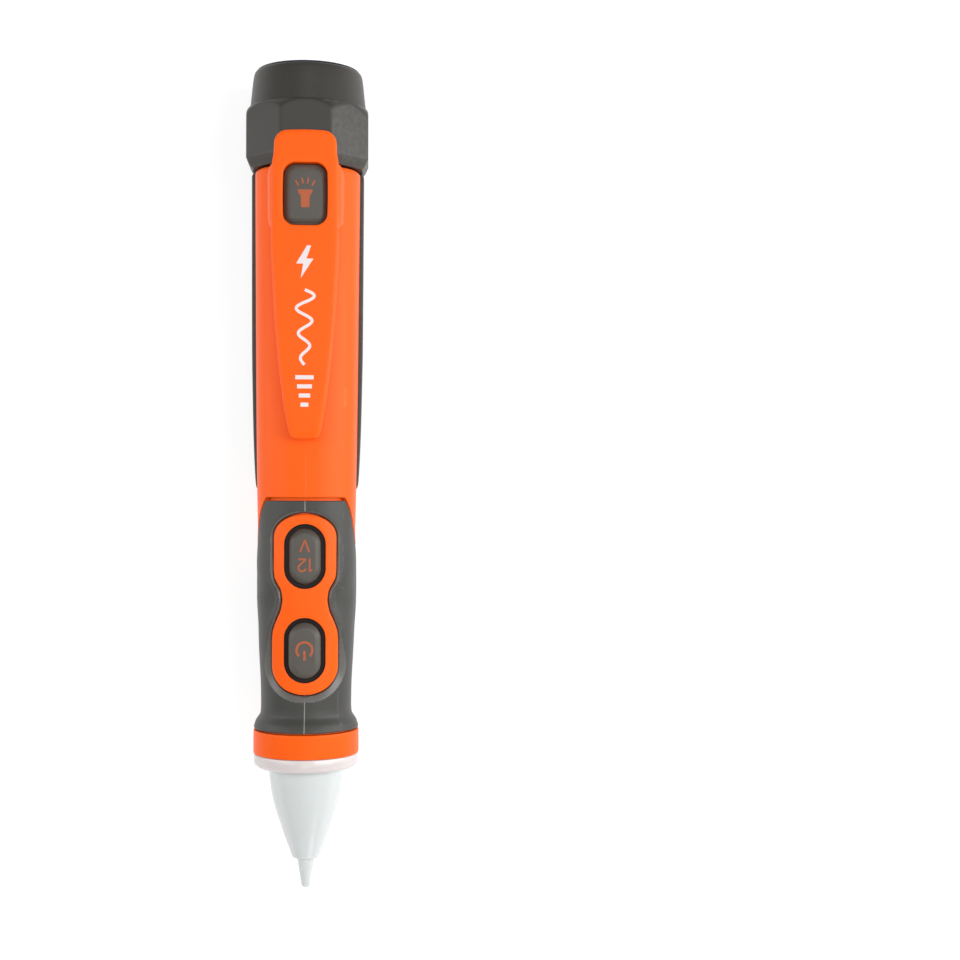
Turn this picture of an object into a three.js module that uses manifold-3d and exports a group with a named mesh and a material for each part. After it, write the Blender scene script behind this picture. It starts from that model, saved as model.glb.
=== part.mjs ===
// Pen-style non contact voltage tester with a built-in torch, as separate named pieces.
// Millimetres. The tester lies on its back: +Z is the front with the buttons, +Y points to
// the torch at the tail, and X runs across. The long axis of the pen is AXIS_HEIGHT above
// the back, and everything below is drawn around that axis.
import * as THREE from "three";
import { mergeVertices } from "three/addons/utils/BufferGeometryUtils.js";
import Module from "manifold-3d";

const wasm = await Module();
wasm.setup();

// ---------------------------------------------------------------- driving dimensions
const AXIS_HEIGHT = 13.35;
const GAP = 0.3; // air left between pieces that touch
const RING_POINTS = 32; // points round one body section
const ROUND = 32; // facets round a turned piece
const CLEAR = 16; // a cutting block that ends here reaches right out of the body

const BODY_TAIL = 67.2; // the housing's flat tail end
const BODY_NOSE = -58.5; // the band's nose end
const WALL = 1.4;
const GRIP_THICKNESS = 1.0;

const GRIP_TAIL_FRONT = -3.8; // the grip's tail edge on the front, then at the sides
const GRIP_TAIL_SIDE = -14.2;
const GRIP_NOSE = -53.0;
const GRIP_EDGE_HEIGHT = 7.5; // where the grip's edge turns away down the sides
const GROOVE = 0.8; // open groove along the grip's tail edge

const COVER_NOSE = -2.0;
const COVER_TAIL = BODY_TAIL - 0.1;
const COVER_WALL = 1.1;
const COVER_TOP = 0.15; // the cover's upper edges, seen from the front as thin strips
const COVER_CORNER = 7.0;
const COVER_SLIDE = 3.2;

const SPIGOT_RADIUS = 8.9;
const SPIGOT_BORE = 7.6;
const SPIGOT_END = 76.0;
const CAP_START = 67.5;
const CAP_END = 88.35;
const BEZEL_END = 89.25;
const RING_START = 69.6;
const RING_END = 80.9;
const RING_FLAT = 13.05; // centre to flat of the octagonal ring
const RING_CORNER = 3.0;

const CLIP_TOP = 15.7;
const CLIP_THICKNESS = 1.2;
const CLIP_TAIL = 73.7;
const CLIP_HINGE = 52.5;
const CLIP_TIP = 9.0;
const CLIP_WINDOW = { halfWidth: 4.6, nose: 53.7, tail: 66.7 };

const BUTTON_TRAVEL = 0.6;
const BUTTON_HALF_WIDTH = 3.57;
const BUTTON_CLEARANCE = 0.8; // the dark gap round each grip button
const VOLTAGE_BUTTON = { nose: -21.6, tail: -9.5 };
const POWER_BUTTON = { nose: -41.6, tail: -29.4 };
const TORCH_BUTTON = { nose: 54.8, tail: 66.4, halfWidth: 3.75 };
const TORCH_HOLE = roundedBox(3.4, 55.4, 65.1, 1);

const FLANGE_BOTTOM = 6.05; // a lip under each grip button keeps it in
const FLANGE_TOP = 6.6;
const FLANGE_WIDTH = 1.2;
const KEY_TOP = 10.95;
const SEAL_THICKNESS = 0.4;

const BOARD_BOTTOM = 1.65;
const BOARD_TOP = 2.85;
const SWITCH_BASE = BOARD_TOP + GAP;
const SWITCH_TOP = 5.05;
const PLUNGER_TOP = 5.75;

const CELL_RADIUS = 5.1;
const CELL_LENGTH = 43.5;
const CELL_NUB = 0.8;
const CELL_X = 5.25;
const CELL_Z = -6.05;
const BAY_HALF_WIDTH = 9.3;
const BAY_NOSE = 10.8; // inner faces of the contact plates
const BAY_TAIL = 61.1;
const CONTACT = 0.4;
const SPRING_LENGTH = 4.3;

// Body outline along the pen: distance from the tail end to a size, joined smoothly.
const halfWidthAt = smooth([
  [68, 11.35], [48, 11.2], [18, 10.95], [2, 10.75], [-6, 10.6], [-11, 10.5], [-18, 10.75],
  [-24, 10.75], [-31, 10.42], [-37, 10.15], [-44, 9.8], [-48, 9.75], [-49.6, 9.85],
  [-51.6, 10.95], [-53.2, 11.35], [-59, 11.4],
]);
const frontAt = smooth([
  [68, 10.9], [18, 10.75], [-3, 10.6], [-18, 10.6], [-31, 10.2], [-44, 9.9], [-48, 9.9],
  [-49.6, 10.0], [-51.6, 10.95], [-53.2, 11.35], [-59, 11.4],
]);
const backAt = smooth([
  [68, 12.0], [8, 12.0], [-8, 11.9], [-20, 11.6], [-31, 11.0], [-44, 10.4], [-49.6, 10.4],
  [-51.6, 11.0], [-53.2, 11.35], [-59, 11.4],
]);
const squarenessAt = smooth([[68, 2.5], [-10, 2.5], [-44, 2.15], [-53.2, 2], [-59, 2]]);
const coverHalfWidthAt = smooth([
  [68, 12.15], [30, 12.0], [18, 11.8], [10, 11.6], [2, 11.25], [-1, 11.0], [-2, 10.8],
]);
const coverBackAt = smooth([[68, 13.35], [6, 13.35], [2, 13.2], [-2, 12.6]]);

// Body stations, close together where the outline turns.
const STATIONS = [
  BODY_TAIL, 30, 2, -6, -11, -18, -26, -32, -38, -44, -48, -49.6, -51.6, -53.2, BODY_NOSE,
];

// ---------------------------------------------------------------- materials
const orange = plastic("#f26d33", 0.42);
const gray = plastic("#4f4e4d", 0.5);
const buttonGray = plastic("#5b5852", 0.55);
const rubber = plastic("#555350", 0.75);
const black = plastic("#1b1c1f", 0.5);
const natural = plastic("#d9d6ce", 0.6);
const blueBlack = plastic("#1c2230", 0.35);
const boardGreen = plastic("#1f6b3a", 0.5);
const frosted = plastic("#dfe2e0", 0.45, { transparent: true, opacity: 0.8 });
const clear = plastic("#f4f8fa", 0.08, { transparent: true, opacity: 0.4 });
const steel = metal("#b9bcc0", 0.35);
const brass = metal("#c9a353", 0.35);
const mirror = metal("#e8eaec", 0.08);
const cellWrap = plastic("#3c3f46", 0.4);
const ledWhite = plastic("#f3e7a0", 0.3);
const ledGreen = plastic("#6fd07a", 0.3);
const ledRed = plastic("#e0564d", 0.3);
const wireRed = plastic("#b3262b", 0.5);
const wireBlack = plastic("#18181a", 0.5);

function plastic(color, roughness, more = {}) {
  return new THREE.MeshStandardMaterial({ color, roughness, metalness: 0, ...more });
}

function metal(color, roughness) {
  return new THREE.MeshStandardMaterial({ color, roughness, metalness: 1 });
}

// ---------------------------------------------------------------- curves and outlines
// A smooth function through [place, value] pairs that never swings past its points.
function smooth(pairs) {
  const points = [...pairs].sort((a, b) => a[0] - b[0]);
  const slopes = [];
  for (let i = 1; i < points.length; i++) {
    slopes.push((points[i][1] - points[i - 1][1]) / (points[i][0] - points[i - 1][0]));
  }
  const tangents = points.map((point, i) => {
    const before = slopes[Math.max(i - 1, 0)];
    const after = slopes[Math.min(i, slopes.length - 1)];
    return before * after > 0 ? (2 * before * after) / (before + after) : 0;
  });
  return (place) => {
    const last = points.length - 2;
    let i = 0;
    while (i < last && place > points[i + 1][0]) i++;
    const span = points[i + 1][0] - points[i][0];
    const t = THREE.MathUtils.clamp((place - points[i][0]) / span, 0, 1);
    const [t2, t3] = [t * t, t * t * t];
    return (2 * t3 - 3 * t2 + 1) * points[i][1] + (t3 - 2 * t2 + t) * span * tangents[i] +
      (3 * t2 - 2 * t3) * points[i + 1][1] + (t3 - t2) * span * tangents[i + 1];
  };
}

// One closed section of the body at y, with rounded-square sides, drawn inset inwards.
function bodySection(y, inset) {
  const width = halfWidthAt(y) - inset;
  const front = frontAt(y) - inset;
  const back = backAt(y) - inset;
  return ovalSection(y, width, front, back, squarenessAt(y));
}

function ovalSection(y, width, front, back, squareness) {
  const ring = [];
  for (let i = 0; i < RING_POINTS; i++) {
    const angle = (2 * Math.PI * i) / RING_POINTS;
    const across = Math.cos(angle);
    const up = Math.sin(angle);
    const reach = 2 / squareness;
    const x = width * Math.sign(across) * Math.abs(across) ** reach;
    const z = (up > 0 ? front : back) * Math.sign(up) * Math.abs(up) ** reach;
    ring.push(new THREE.Vector3(x, y, z));
  }
  return ring;
}

function roundedBox(halfWidth, nose, tail, radius) {
  const shape = new THREE.Shape();
  shape.moveTo(-halfWidth + radius, nose);
  shape.lineTo(halfWidth - radius, nose);
  shape.absarc(halfWidth - radius, nose + radius, radius, -Math.PI / 2, 0);
  shape.absarc(halfWidth - radius, tail - radius, radius, 0, Math.PI / 2);
  shape.absarc(-halfWidth + radius, tail - radius, radius, Math.PI / 2, Math.PI);
  shape.absarc(-halfWidth + radius, nose + radius, radius, Math.PI, 1.5 * Math.PI);
  return shape;
}

function stadium(place, margin = 0) {
  const radius = BUTTON_HALF_WIDTH + margin;
  return roundedBox(radius, place.nose - margin, place.tail + margin, radius - 0.01);
}

// The peanut-shaped orange island round the two grip buttons, grown by margin.
function islandOutline(margin) {
  const halfAt = smooth([
    [-45, 2.6], [-44.3, 3.9], [-43.3, 5.0], [-41.6, 6.3], [-38.7, 7.1], [-34, 7.1], [-31.8, 6.98],
    [-30.4, 6.6], [-28.7, 5.95], [-27, 5.25], [-24.7, 4.88], [-22.7, 5.2], [-21.4, 5.9], [-20, 6.55],
    [-18, 6.73], [-11.7, 6.73], [-9, 5.8], [-7.4, 3.9], [-6.6, 2.2],
  ]);
  const places = [-45, -44.3, -43.3, -41.6, -38.7, -34, -31.4, -28.7, -26.5, -24.7, -22.7, -20.8,
    -18, -14, -11, -9, -7.4, -6.6];
  const side = places.map((y) => new THREE.Vector2(halfAt(y) + margin, y));
  side[0].y -= margin;
  side[side.length - 1].y += margin;
  const other = side.map((p) => new THREE.Vector2(-p.x, p.y)).reverse();
  return new THREE.Shape([...side, ...other]);
}

// ---------------------------------------------------------------- solids
function solid(geometry) {
  const bare = geometry.index ? geometry.toNonIndexed() : geometry.clone();
  bare.deleteAttribute("normal");
  bare.deleteAttribute("uv");
  const merged = mergeVertices(bare, 1e-4);
  const mesh = (triVerts) => new wasm.Manifold(new wasm.Mesh({
    numProp: 3,
    vertProperties: new Float32Array(merged.attributes.position.array),
    triVerts,
  }));
  const faces = new Uint32Array(merged.index.array);
  const made = mesh(faces);
  if (made.volume() > 0) return made;
  for (let i = 0; i < faces.length; i += 3) {
    [faces[i + 1], faces[i + 2]] = [faces[i + 2], faces[i + 1]];
  }
  return mesh(faces);
}

function geometryOf(made) {
  const mesh = made.getMesh();
  const geometry = new THREE.BufferGeometry();
  const places = new Float32Array(mesh.numVert * 3);
  for (let i = 0; i < mesh.numVert; i++) {
    for (let k = 0; k < 3; k++) {
      places[3 * i + k] = mesh.vertProperties[i * mesh.numProp + k];
    }
  }
  geometry.setAttribute("position", new THREE.BufferAttribute(places, 3));
  geometry.setIndex(Array.from(mesh.triVerts));
  return geometry;
}

// A closed skin over a row of sections that all have the same number of points.
function loft(rings) {
  const count = rings[0].length;
  const places = rings.flat().flatMap((p) => [p.x, p.y, p.z]);
  const faces = [];
  for (let r = 0; r + 1 < rings.length; r++) {
    for (let i = 0; i < count; i++) {
      const [a, b] = [r * count + i, r * count + ((i + 1) % count)];
      faces.push(a, b, a + count, b, b + count, a + count);
    }
  }
  const flat = rings[0].map((p) => new THREE.Vector2(p.x, p.z));
  const forward = !THREE.ShapeUtils.isClockWise(flat);
  const last = (rings.length - 1) * count;
  for (const [a, b, c] of THREE.ShapeUtils.triangulateShape(flat, [])) {
    const end = [last + a, last + b, last + c];
    faces.push(...(forward ? [c, b, a] : [a, b, c]));
    faces.push(...(forward ? end : end.reverse()));
  }
  const geometry = new THREE.BufferGeometry();
  geometry.setAttribute("position", new THREE.Float32BufferAttribute(places, 3));
  geometry.setIndex(faces);
  return solid(geometry);
}

function block(x0, x1, y0, y1, z0, z1) {
  const geometry = new THREE.BoxGeometry(x1 - x0, y1 - y0, z1 - z0);
  geometry.translate((x0 + x1) / 2, (y0 + y1) / 2, (z0 + z1) / 2);
  return solid(geometry);
}

// A turned piece about the pen's axis; profile is [radius, y] pairs, closed on itself.
function turned(profile, segments = ROUND) {
  const points = [...profile, profile[0]].map(([radius, y]) => new THREE.Vector2(radius, y));
  return solid(new THREE.LatheGeometry(points, segments));
}

// A round post from z0 to z1 that stands at x, y.
function post(x, y, z0, z1, radius, segments = 16) {
  const geometry = new THREE.CylinderGeometry(radius, radius, z1 - z0, segments);
  geometry.rotateX(Math.PI / 2);
  geometry.translate(x, y, (z0 + z1) / 2);
  return solid(geometry);
}

// A rod along the pen from y0 to y1.
function rod(x, z, y0, y1, radius, segments = 20) {
  const geometry = new THREE.CylinderGeometry(radius, radius, y1 - y0, segments);
  geometry.translate(x, (y0 + y1) / 2, z);
  return solid(geometry);
}

// An outline in the front view, standing from z0 to z1.
function upright(shape, z0, z1, curveSegments = 4) {
  const geometry = new THREE.ExtrudeGeometry(shape, {
    depth: z1 - z0, bevelEnabled: false, curveSegments,
  });
  geometry.translate(0, 0, z0);
  return solid(geometry);
}

// An outline in the side view, given as [y, z] pairs, right across the pen.
function sideways(points, halfWidth = 20) {
  const shape = new THREE.Shape(points.map(([y, z]) => new THREE.Vector2(y, z)));
  const geometry = new THREE.ExtrudeGeometry(shape, { depth: 2 * halfWidth, bevelEnabled: false });
  geometry.translate(0, 0, -halfWidth);
  const turn = new THREE.Matrix4().makeBasis(
    new THREE.Vector3(0, 1, 0), new THREE.Vector3(0, 0, 1), new THREE.Vector3(1, 0, 0));
  geometry.applyMatrix4(turn);
  return solid(geometry);
}

function bodyLoft(inset, stations = STATIONS) {
  return loft(stations.map((y) => bodySection(y, inset)));
}

// ---------------------------------------------------------------- housing and grip
// The side view of the grip's space: its tail edge runs across the front, then slants back.
function gripSpace(margin) {
  const top = GRIP_TAIL_FRONT + margin;
  const side = GRIP_TAIL_SIDE + margin;
  const nose = GRIP_NOSE - Math.min(margin, GAP);
  return sideways([
    [top, CLEAR], [top, GRIP_EDGE_HEIGHT], [top - 2.2, 5.0], [side + 3.1, 1.6], [side, -1.5],
    [side, -CLEAR], [nose, -CLEAR], [nose, CLEAR],
  ]);
}

function buildGrip() {
  const stations = STATIONS.filter((y) => y < 10);
  const skin = bodyLoft(0, stations).subtract(bodyLoft(GRIP_THICKNESS, stations));
  const window = upright(islandOutline(GAP), 0, CLEAR);
  return skin.intersect(gripSpace(0)).subtract(window);
}

// The part of the housing that the rear cover slides over.
function underCover() {
  const stations = [BODY_TAIL, 18, 6, 2, COVER_NOSE, COVER_NOSE - COVER_SLIDE - 2];
  const inset = COVER_WALL + GAP;
  return loft(stations.map((y) => ovalSection(
    y, coverHalfWidthAt(y) - inset, 8, coverBackAt(y) - inset, 3)));
}

function buildHousing() {
  const space = gripSpace(GROOVE);
  const core = bodyLoft(GRIP_THICKNESS + GAP);
  const recess = space.subtract(core).subtract(upright(islandOutline(0), 0, CLEAR));
  const coverRoom = COVER_NOSE - COVER_SLIDE - 0.4;
  const belowCover = block(-CLEAR, CLEAR, coverRoom, 70, -CLEAR, COVER_TOP + GAP);
  const skin = bodyLoft(0).subtract(recess).subtract(belowCover);
  const rails = underCover().intersect(block(-CLEAR, CLEAR, -CLEAR, 70, -CLEAR, 1));
  const innerAt = smooth([[68, WALL], [0, WALL], [-7, 2.7], [-60, 2.7]]);
  const depthAt = smooth([[66, 1], [8, 1], [2, 7.5], [-6, 8.3], [-30, 8], [-44, 7.6], [-57, 8.5]]);
  const cavity = loft([65.8, 30, 8, 0, -6, -18, -30, -44, -50, -56.5].map((y) =>
    ovalSection(y, halfWidthAt(y) - innerAt(y), frontAt(y) - innerAt(y), depthAt(y),
      squarenessAt(y))));
  const [bayNose, bayTail] = [BAY_NOSE - 2.6, BODY_TAIL - 1.8];
  const bay = block(-BAY_HALF_WIDTH, BAY_HALF_WIDTH, bayNose, bayTail + 0.2, -CLEAR, 1)
    .add(block(-CLEAR, CLEAR, bayNose, bayTail, -CLEAR, -2.8));
  const spigot = turned([
    [SPIGOT_BORE, BODY_TAIL - 1.7], [SPIGOT_RADIUS, BODY_TAIL - 1.7], [SPIGOT_RADIUS, SPIGOT_END],
    [SPIGOT_BORE, SPIGOT_END],
  ]);
  const wireWay = rod(0, 0, 60, 70, SPIGOT_BORE, ROUND);
  const noseBore = rod(0, 0, BODY_NOSE - 1, -54.5, 9.4, ROUND);
  const keypadPocket = block(-5.2, 5.2, -43.6, -7.6, 0, 7.6);
  const torchPocket = block(-5, 5, 54.0, 65.8, 0, 9.2);
  const torchHole = upright(TORCH_HOLE, 6, 14);
  let housing = skin.add(rails).subtract(cavity).subtract(bay).subtract(wireWay).add(spigot);
  housing = housing.subtract(noseBore).subtract(keypadPocket).subtract(torchPocket);
  housing = housing.subtract(torchHole);
  for (const place of [VOLTAGE_BUTTON, POWER_BUTTON]) {
    housing = housing.subtract(upright(stadium(place, BUTTON_CLEARANCE), 6, 14));
  }
  return housing;
}

// A flat-backed channel: its outer face, then its inner face, as one closed outline.
function coverSection(y) {
  const wall = (inset) => {
    const half = coverHalfWidthAt(y) - inset;
    const back = -coverBackAt(y) + inset;
    const radius = COVER_CORNER - inset;
    const side = [[half, COVER_TOP]];
    for (let i = 0; i <= 6; i++) {
      const angle = (Math.PI / 2) * (i / 6);
      side.push([half - radius + radius * Math.cos(angle), back + radius - radius * Math.sin(angle)]);
    }
    return [...side, ...side.map(([x, z]) => [-x, z]).reverse()];
  };
  const outline = [...wall(0), ...wall(COVER_WALL).reverse()];
  return outline.map(([x, z]) => new THREE.Vector3(x, y, z));
}

function buildCover() {
  return loft([COVER_TAIL, 30, 18, 10, 6, 2, 0, COVER_NOSE].map(coverSection));
}

// ---------------------------------------------------------------- torch at the tail
// One section of the octagonal ring at y, with its flats this far from the axis.
function octagon(y, flat) {
  const ring = [];
  const inner = RING_FLAT - RING_CORNER;
  const reach = inner / Math.cos(Math.PI / 8);
  const steps = 3;
  for (let i = 0; i < 8; i++) {
    const middle = Math.PI / 8 + (i * Math.PI) / 4;
    for (let k = 0; k <= steps; k++) {
      const angle = middle + (Math.PI / 4) * (k / steps - 0.5);
      const x = reach * Math.cos(middle) + RING_CORNER * Math.cos(angle);
      const z = reach * Math.sin(middle) + RING_CORNER * Math.sin(angle);
      ring.push(new THREE.Vector3(x, 0, z).multiplyScalar(flat / RING_FLAT).setY(y));
    }
  }
  return ring;
}

function buildTailCap() {
  const prism = loft([
    octagon(CAP_START, RING_FLAT - 1.1), octagon(RING_START, RING_FLAT), octagon(90, RING_FLAT),
  ]);
  const outside = turned([
    [0, CAP_START - 1], [15, CAP_START - 1], [15, 75], [13.9, 78.3], [13.1, RING_END - 0.4],
    [12.6, RING_END], [12.25, 83.5], [11.75, 87.9], [11.5, CAP_END], [0, CAP_END],
  ]);
  const inside = turned([
    [0, 60], [11.0, 60], [11.0, 69.2], [9.3, 69.2], [9.3, 76.5], [10.5, 76.5], [10.5, 90], [0, 90],
  ]);
  return prism.intersect(outside).subtract(inside);
}

function buildBezel() {
  return turned([
    [9.7, 86.6], [10.2, 86.6], [10.2, CAP_END + GAP], [11.3, CAP_END + GAP], [11.2, 88.95],
    [10.9, BEZEL_END], [9.9, BEZEL_END], [9.7, 88.95],
  ]);
}

function buildReflector() {
  const bowl = [];
  const back = [];
  const steps = 4;
  for (let i = 0; i <= steps; i++) {
    const radius = 2.4 + (6.9 * i) / steps;
    const y = 76.9 + 8.0 * ((radius - 2.4) / 6.9) ** 2;
    bowl.push([radius, y]);
    back.unshift([radius + 0.7, y - 0.1 - 0.2 * (1 - i / steps)]);
  }
  return turned([...bowl, [9.9, 84.9], ...back], 24);
}

function buildTorchLed() {
  return turned([[0, 76.2], [1.9, 76.2], [1.9, 76.9], [1.5, 77.9], [0.8, 78.5], [0, 78.6]], 20);
}

// ---------------------------------------------------------------- clip
// The frame round the torch button, its pedestal and the tab that reaches over the ring.
function buildClipRoot() {
  const { halfWidth, nose, tail } = CLIP_WINDOW;
  const pedestal = upright(roundedBox(8.0, 53.9, 66.9, 1.5), 0, CLIP_TOP - 0.2);
  const foot = upright(roundedBox(6.4, CLIP_HINGE, 56, 0.5), 0, 13.7);
  const neck = upright(roundedBox(7.1, CLIP_HINGE, 56, 0.2), 14.2, CLIP_TOP);
  const tab = upright(roundedBox(6.5, 60, CLIP_TAIL, 2.8), CLIP_TOP - CLIP_THICKNESS, CLIP_TOP);
  const window = upright(roundedBox(halfWidth, nose, tail, 2), 0, 20);
  return pedestal.add(foot).add(neck).add(tab).subtract(window).subtract(bodyLoft(-GAP));
}

function buildClipLeaf() {
  const halfAt = smooth([[53, 7.1], [40.6, 6.65], [26.2, 5.6], [16.5, 4.4], [11, 3.4], [9, 2.9]]);
  const places = [CLIP_HINGE - GAP, 46, 40, 33, 26, 21, 16.5, 13, 10.6, CLIP_TIP];
  const side = places.map((y) => new THREE.Vector2(halfAt(y), y));
  const outline = [...side, ...side.map((p) => new THREE.Vector2(-p.x, p.y)).reverse()];
  const thickness = sideways([
    [60, CLIP_TOP], [52, CLIP_TOP], [30, 15.4], [12, 14.9], [CLIP_TIP, 14.0], [CLIP_TIP, 12.6],
    [10.6, 11.5], [12.6, 11.5], [16, 13.2], [30, 14.0], [60, 14.3],
  ]);
  return upright(new THREE.Shape(outline), 8, 18).intersect(thickness);
}

// ---------------------------------------------------------------- buttons and switches
function buildGripButton(place) {
  const key = upright(stadium(place), FLANGE_BOTTOM + GAP, KEY_TOP);
  const flange = upright(stadium(place, FLANGE_WIDTH), FLANGE_BOTTOM, FLANGE_TOP);
  return key.add(flange);
}

function buildTorchButton() {
  const { nose, tail, halfWidth } = TORCH_BUTTON;
  const face = upright(roundedBox(halfWidth, nose, tail, 1.6), 11.6, 14.4);
  const stem = upright(roundedBox(3.1, 55.7, 64.8, 0.8), 7.8, 11.8);
  const flange = upright(roundedBox(4.2, 54.7, 65.4, 0.8), 7.6, 8.2);
  const foot = post(0, 60.5, PLUNGER_TOP + GAP, 8, 2.0);
  return face.add(stem).add(flange).add(foot);
}

function buildSeal(outer, inner, z0) {
  return upright(outer, z0, z0 + SEAL_THICKNESS).subtract(upright(inner, z0 - 1, z0 + 1));
}

function buildSwitch(y) {
  const body = block(-3, 3, y - 3, y + 3, SWITCH_BASE, SWITCH_TOP);
  return body.subtract(post(0, y, SWITCH_BASE + 0.2, 8, 1.6));
}

function buildPlunger(y) {
  return post(0, y, SWITCH_BASE + 0.2 + BUTTON_TRAVEL + 0.1, PLUNGER_TOP, 1.3);
}

// ---------------------------------------------------------------- board and its parts
function buildBoard() {
  const half = 6.0;
  const wide = 8.4;
  const shape = new THREE.Shape([
    [half - 1, -44.5], [half, -43.5], [half, 2], [wide, 5], [wide, 62.5], [wide - 1.5, 64],
    [1.5 - wide, 64], [-wide, 62.5], [-wide, 5], [-half, 2], [-half, -43.5], [1 - half, -44.5],
  ].map(([x, y]) => new THREE.Vector2(x, y)));
  let board = upright(shape, BOARD_BOTTOM, BOARD_TOP);
  for (const y of SCREW_PLACES) board = board.subtract(post(0, y, 0, 4, 1.4));
  return board;
}

function buildScrew(y) {
  const head = post(0, y, BOARD_TOP + GAP, 4.2, 2.1);
  const shank = post(0, y, -2.4, BOARD_TOP + GAP + 0.1, 1.0);
  const slot = block(-3, 3, y - 0.3, y + 0.3, 3.8, 5);
  return head.add(shank).subtract(slot);
}

// A small light lying along the pen, pointing to the nose.
function buildStatusLed(x) {
  const points = [[0, -44.9], [1.7, -44.9], [1.7, -45.7], [1.5, -45.7], [1.5, -48.4], [1.1, -49.5],
    [0, -50]].map(([radius, y]) => new THREE.Vector2(radius, y));
  const geometry = new THREE.LatheGeometry([...points, points[0]], 16);
  geometry.translate(x, 0, 2.25);
  return solid(geometry);
}

function buildAntenna() {
  const shape = new THREE.Shape([
    [1.6, -44], [1.6, -66], [0.5, -72], [0.5, -83.5], [-0.5, -83.5], [-0.5, -72], [-1.6, -66],
    [-1.6, -44],
  ].map(([x, y]) => new THREE.Vector2(x, y)));
  return upright(shape, -0.2, 0.2);
}

function buildWire(side) {
  const route = new THREE.CatmullRomCurve3([
    [5.2, 61.5, 3.8], [4.8, 65, 3.9], [3.4, 69, 3.2], [2.4, 72, 2.6], [2.0, 74.3, 2.4],
  ].map(([x, y, z]) => new THREE.Vector3(side * x, y, z)));
  const section = new THREE.Shape();
  section.absarc(0, 0, 0.55, 0, 2 * Math.PI);
  return solid(new THREE.ExtrudeGeometry(section, {
    steps: 8, extrudePath: route, curveSegments: 3, bevelEnabled: false,
  }));
}

// ---------------------------------------------------------------- batteries and their bay
function buildTray() {
  let tray = block(-9.0, 9.0, 8.6, 64.4, -0.4, 0.6);
  tray = tray.add(block(-8.2, 8.2, 9.0, BAY_NOSE - GAP, -10.3, 0));
  tray = tray.add(block(-8.2, 8.2, BAY_TAIL + GAP, 62.9, -10.3, 0));
  for (const y of SCREW_PLACES) {
    tray = tray.add(post(0, y, 0, BOARD_BOTTOM - GAP, 2.2)).subtract(post(0, y, -2, 4, 1.3));
  }
  return tray;
}

// A cell whose plus end points to the tail when direction is 1, to the nose when it is -1.
function buildCell(side, direction) {
  const radius = CELL_RADIUS;
  const points = [[0, 0], [4.6, 0], [radius, 0.4], [radius, CELL_LENGTH - 0.6],
    [4.4, CELL_LENGTH], [1.9, CELL_LENGTH], [1.9, CELL_LENGTH + CELL_NUB],
    [0, CELL_LENGTH + CELL_NUB]].map(([r, y]) => new THREE.Vector2(r, y));
  const geometry = new THREE.LatheGeometry([...points, points[0]], 24);
  if (direction < 0) geometry.rotateX(Math.PI);
  const plus = BAY_TAIL - CONTACT - GAP - CELL_LENGTH - CELL_NUB;
  const minus = BAY_NOSE + CONTACT + GAP + CELL_LENGTH + CELL_NUB;
  geometry.translate(side * CELL_X, direction > 0 ? plus : minus, CELL_Z);
  return solid(geometry);
}

function buildSpring(side, start) {
  const turns = 3;
  const perTurn = 8;
  const points = [];
  for (let i = 0; i <= turns * perTurn; i++) {
    const angle = (2 * Math.PI * i) / perTurn;
    const share = i / (turns * perTurn);
    const radius = 3.6 - 1.4 * share;
    points.push(new THREE.Vector3(side * CELL_X + radius * Math.cos(angle),
      start + 0.35 + (SPRING_LENGTH - 0.7) * share, CELL_Z + radius * Math.sin(angle)));
  }
  const section = new THREE.Shape();
  section.absarc(0, 0, 0.35, 0, 2 * Math.PI);
  return solid(new THREE.ExtrudeGeometry(section, {
    steps: turns * perTurn, extrudePath: new THREE.CatmullRomCurve3(points), curveSegments: 3,
    bevelEnabled: false,
  }));
}

function buildContact(x0, x1, y) {
  return block(x0, x1, y, y + CONTACT, -10.0, -1.2);
}

// ---------------------------------------------------------------- nose
function buildNoseCone() {
  const outer = [
    [8.1, -54.9], [8.1, BODY_NOSE - GAP], [11.27, BODY_NOSE - GAP], [11.27, -60.6], [10.8, -61.7],
    [9.6, -62.25], [8.0, -62.3], [7.5, -66.5], [6.3, -71.4], [4.7, -76.4], [3.05, -81.4], [1.75, -81.7],
    [1.0, -86.6], [0, -88],
  ];
  const inner = [
    [0, -85], [0.75, -84.6], [1.0, -80], [3.3, -75.4], [4.9, -71.4], [6.1, -66.5], [6.8, -54.9],
  ];
  return turned([...outer, ...inner]);
}

function buildORing(radius, thickness, y) {
  const geometry = new THREE.TorusGeometry(radius, thickness, 6, 24);
  geometry.rotateX(Math.PI / 2);
  geometry.translate(0, y, 0);
  return solid(geometry);
}

// ---------------------------------------------------------------- the tester
const SCREW_PLACES = [17, 50];
const SWITCHES = [
  ["torch", 60.5, null],
  ["voltage", -15.5, VOLTAGE_BUTTON],
  ["power", -35.5, POWER_BUTTON],
];

const tester = new THREE.Group();
const pen = new THREE.Group();
pen.position.z = AXIS_HEIGHT;
tester.add(pen);

function add(name, made, material) {
  const mesh = new THREE.Mesh(geometryOf(made), material);
  mesh.name = name;
  pen.add(mesh);
}

add("barrel_housing", buildHousing(), orange);
add("grip_overmold", buildGrip(), rubber);
add("rear_cover", buildCover(), gray);
add("nose_cone", buildNoseCone(), frosted);
add("nose_o_ring", buildORing(8.78, 0.5, -57), black);

add("tail_cap", buildTailCap(), gray);
add("lens_bezel", buildBezel(), blueBlack);
add("torch_lens", turned([[0, 85.2], [10.2, 85.2], [10.2, 86.3], [0, 86.3]]), clear);
add("torch_reflector", buildReflector(), mirror);
add("torch_led", buildTorchLed(), ledWhite);
add("torch_led_board", rod(0, 0, 74.7, 75.9, 7.2, 32), boardGreen);
add("tail_o_ring", buildORing(9.95, 0.75, 68.25), black);

add("pocket_clip", buildClipRoot(), orange);
add("pocket_clip_leaf", buildClipLeaf(), orange);

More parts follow.
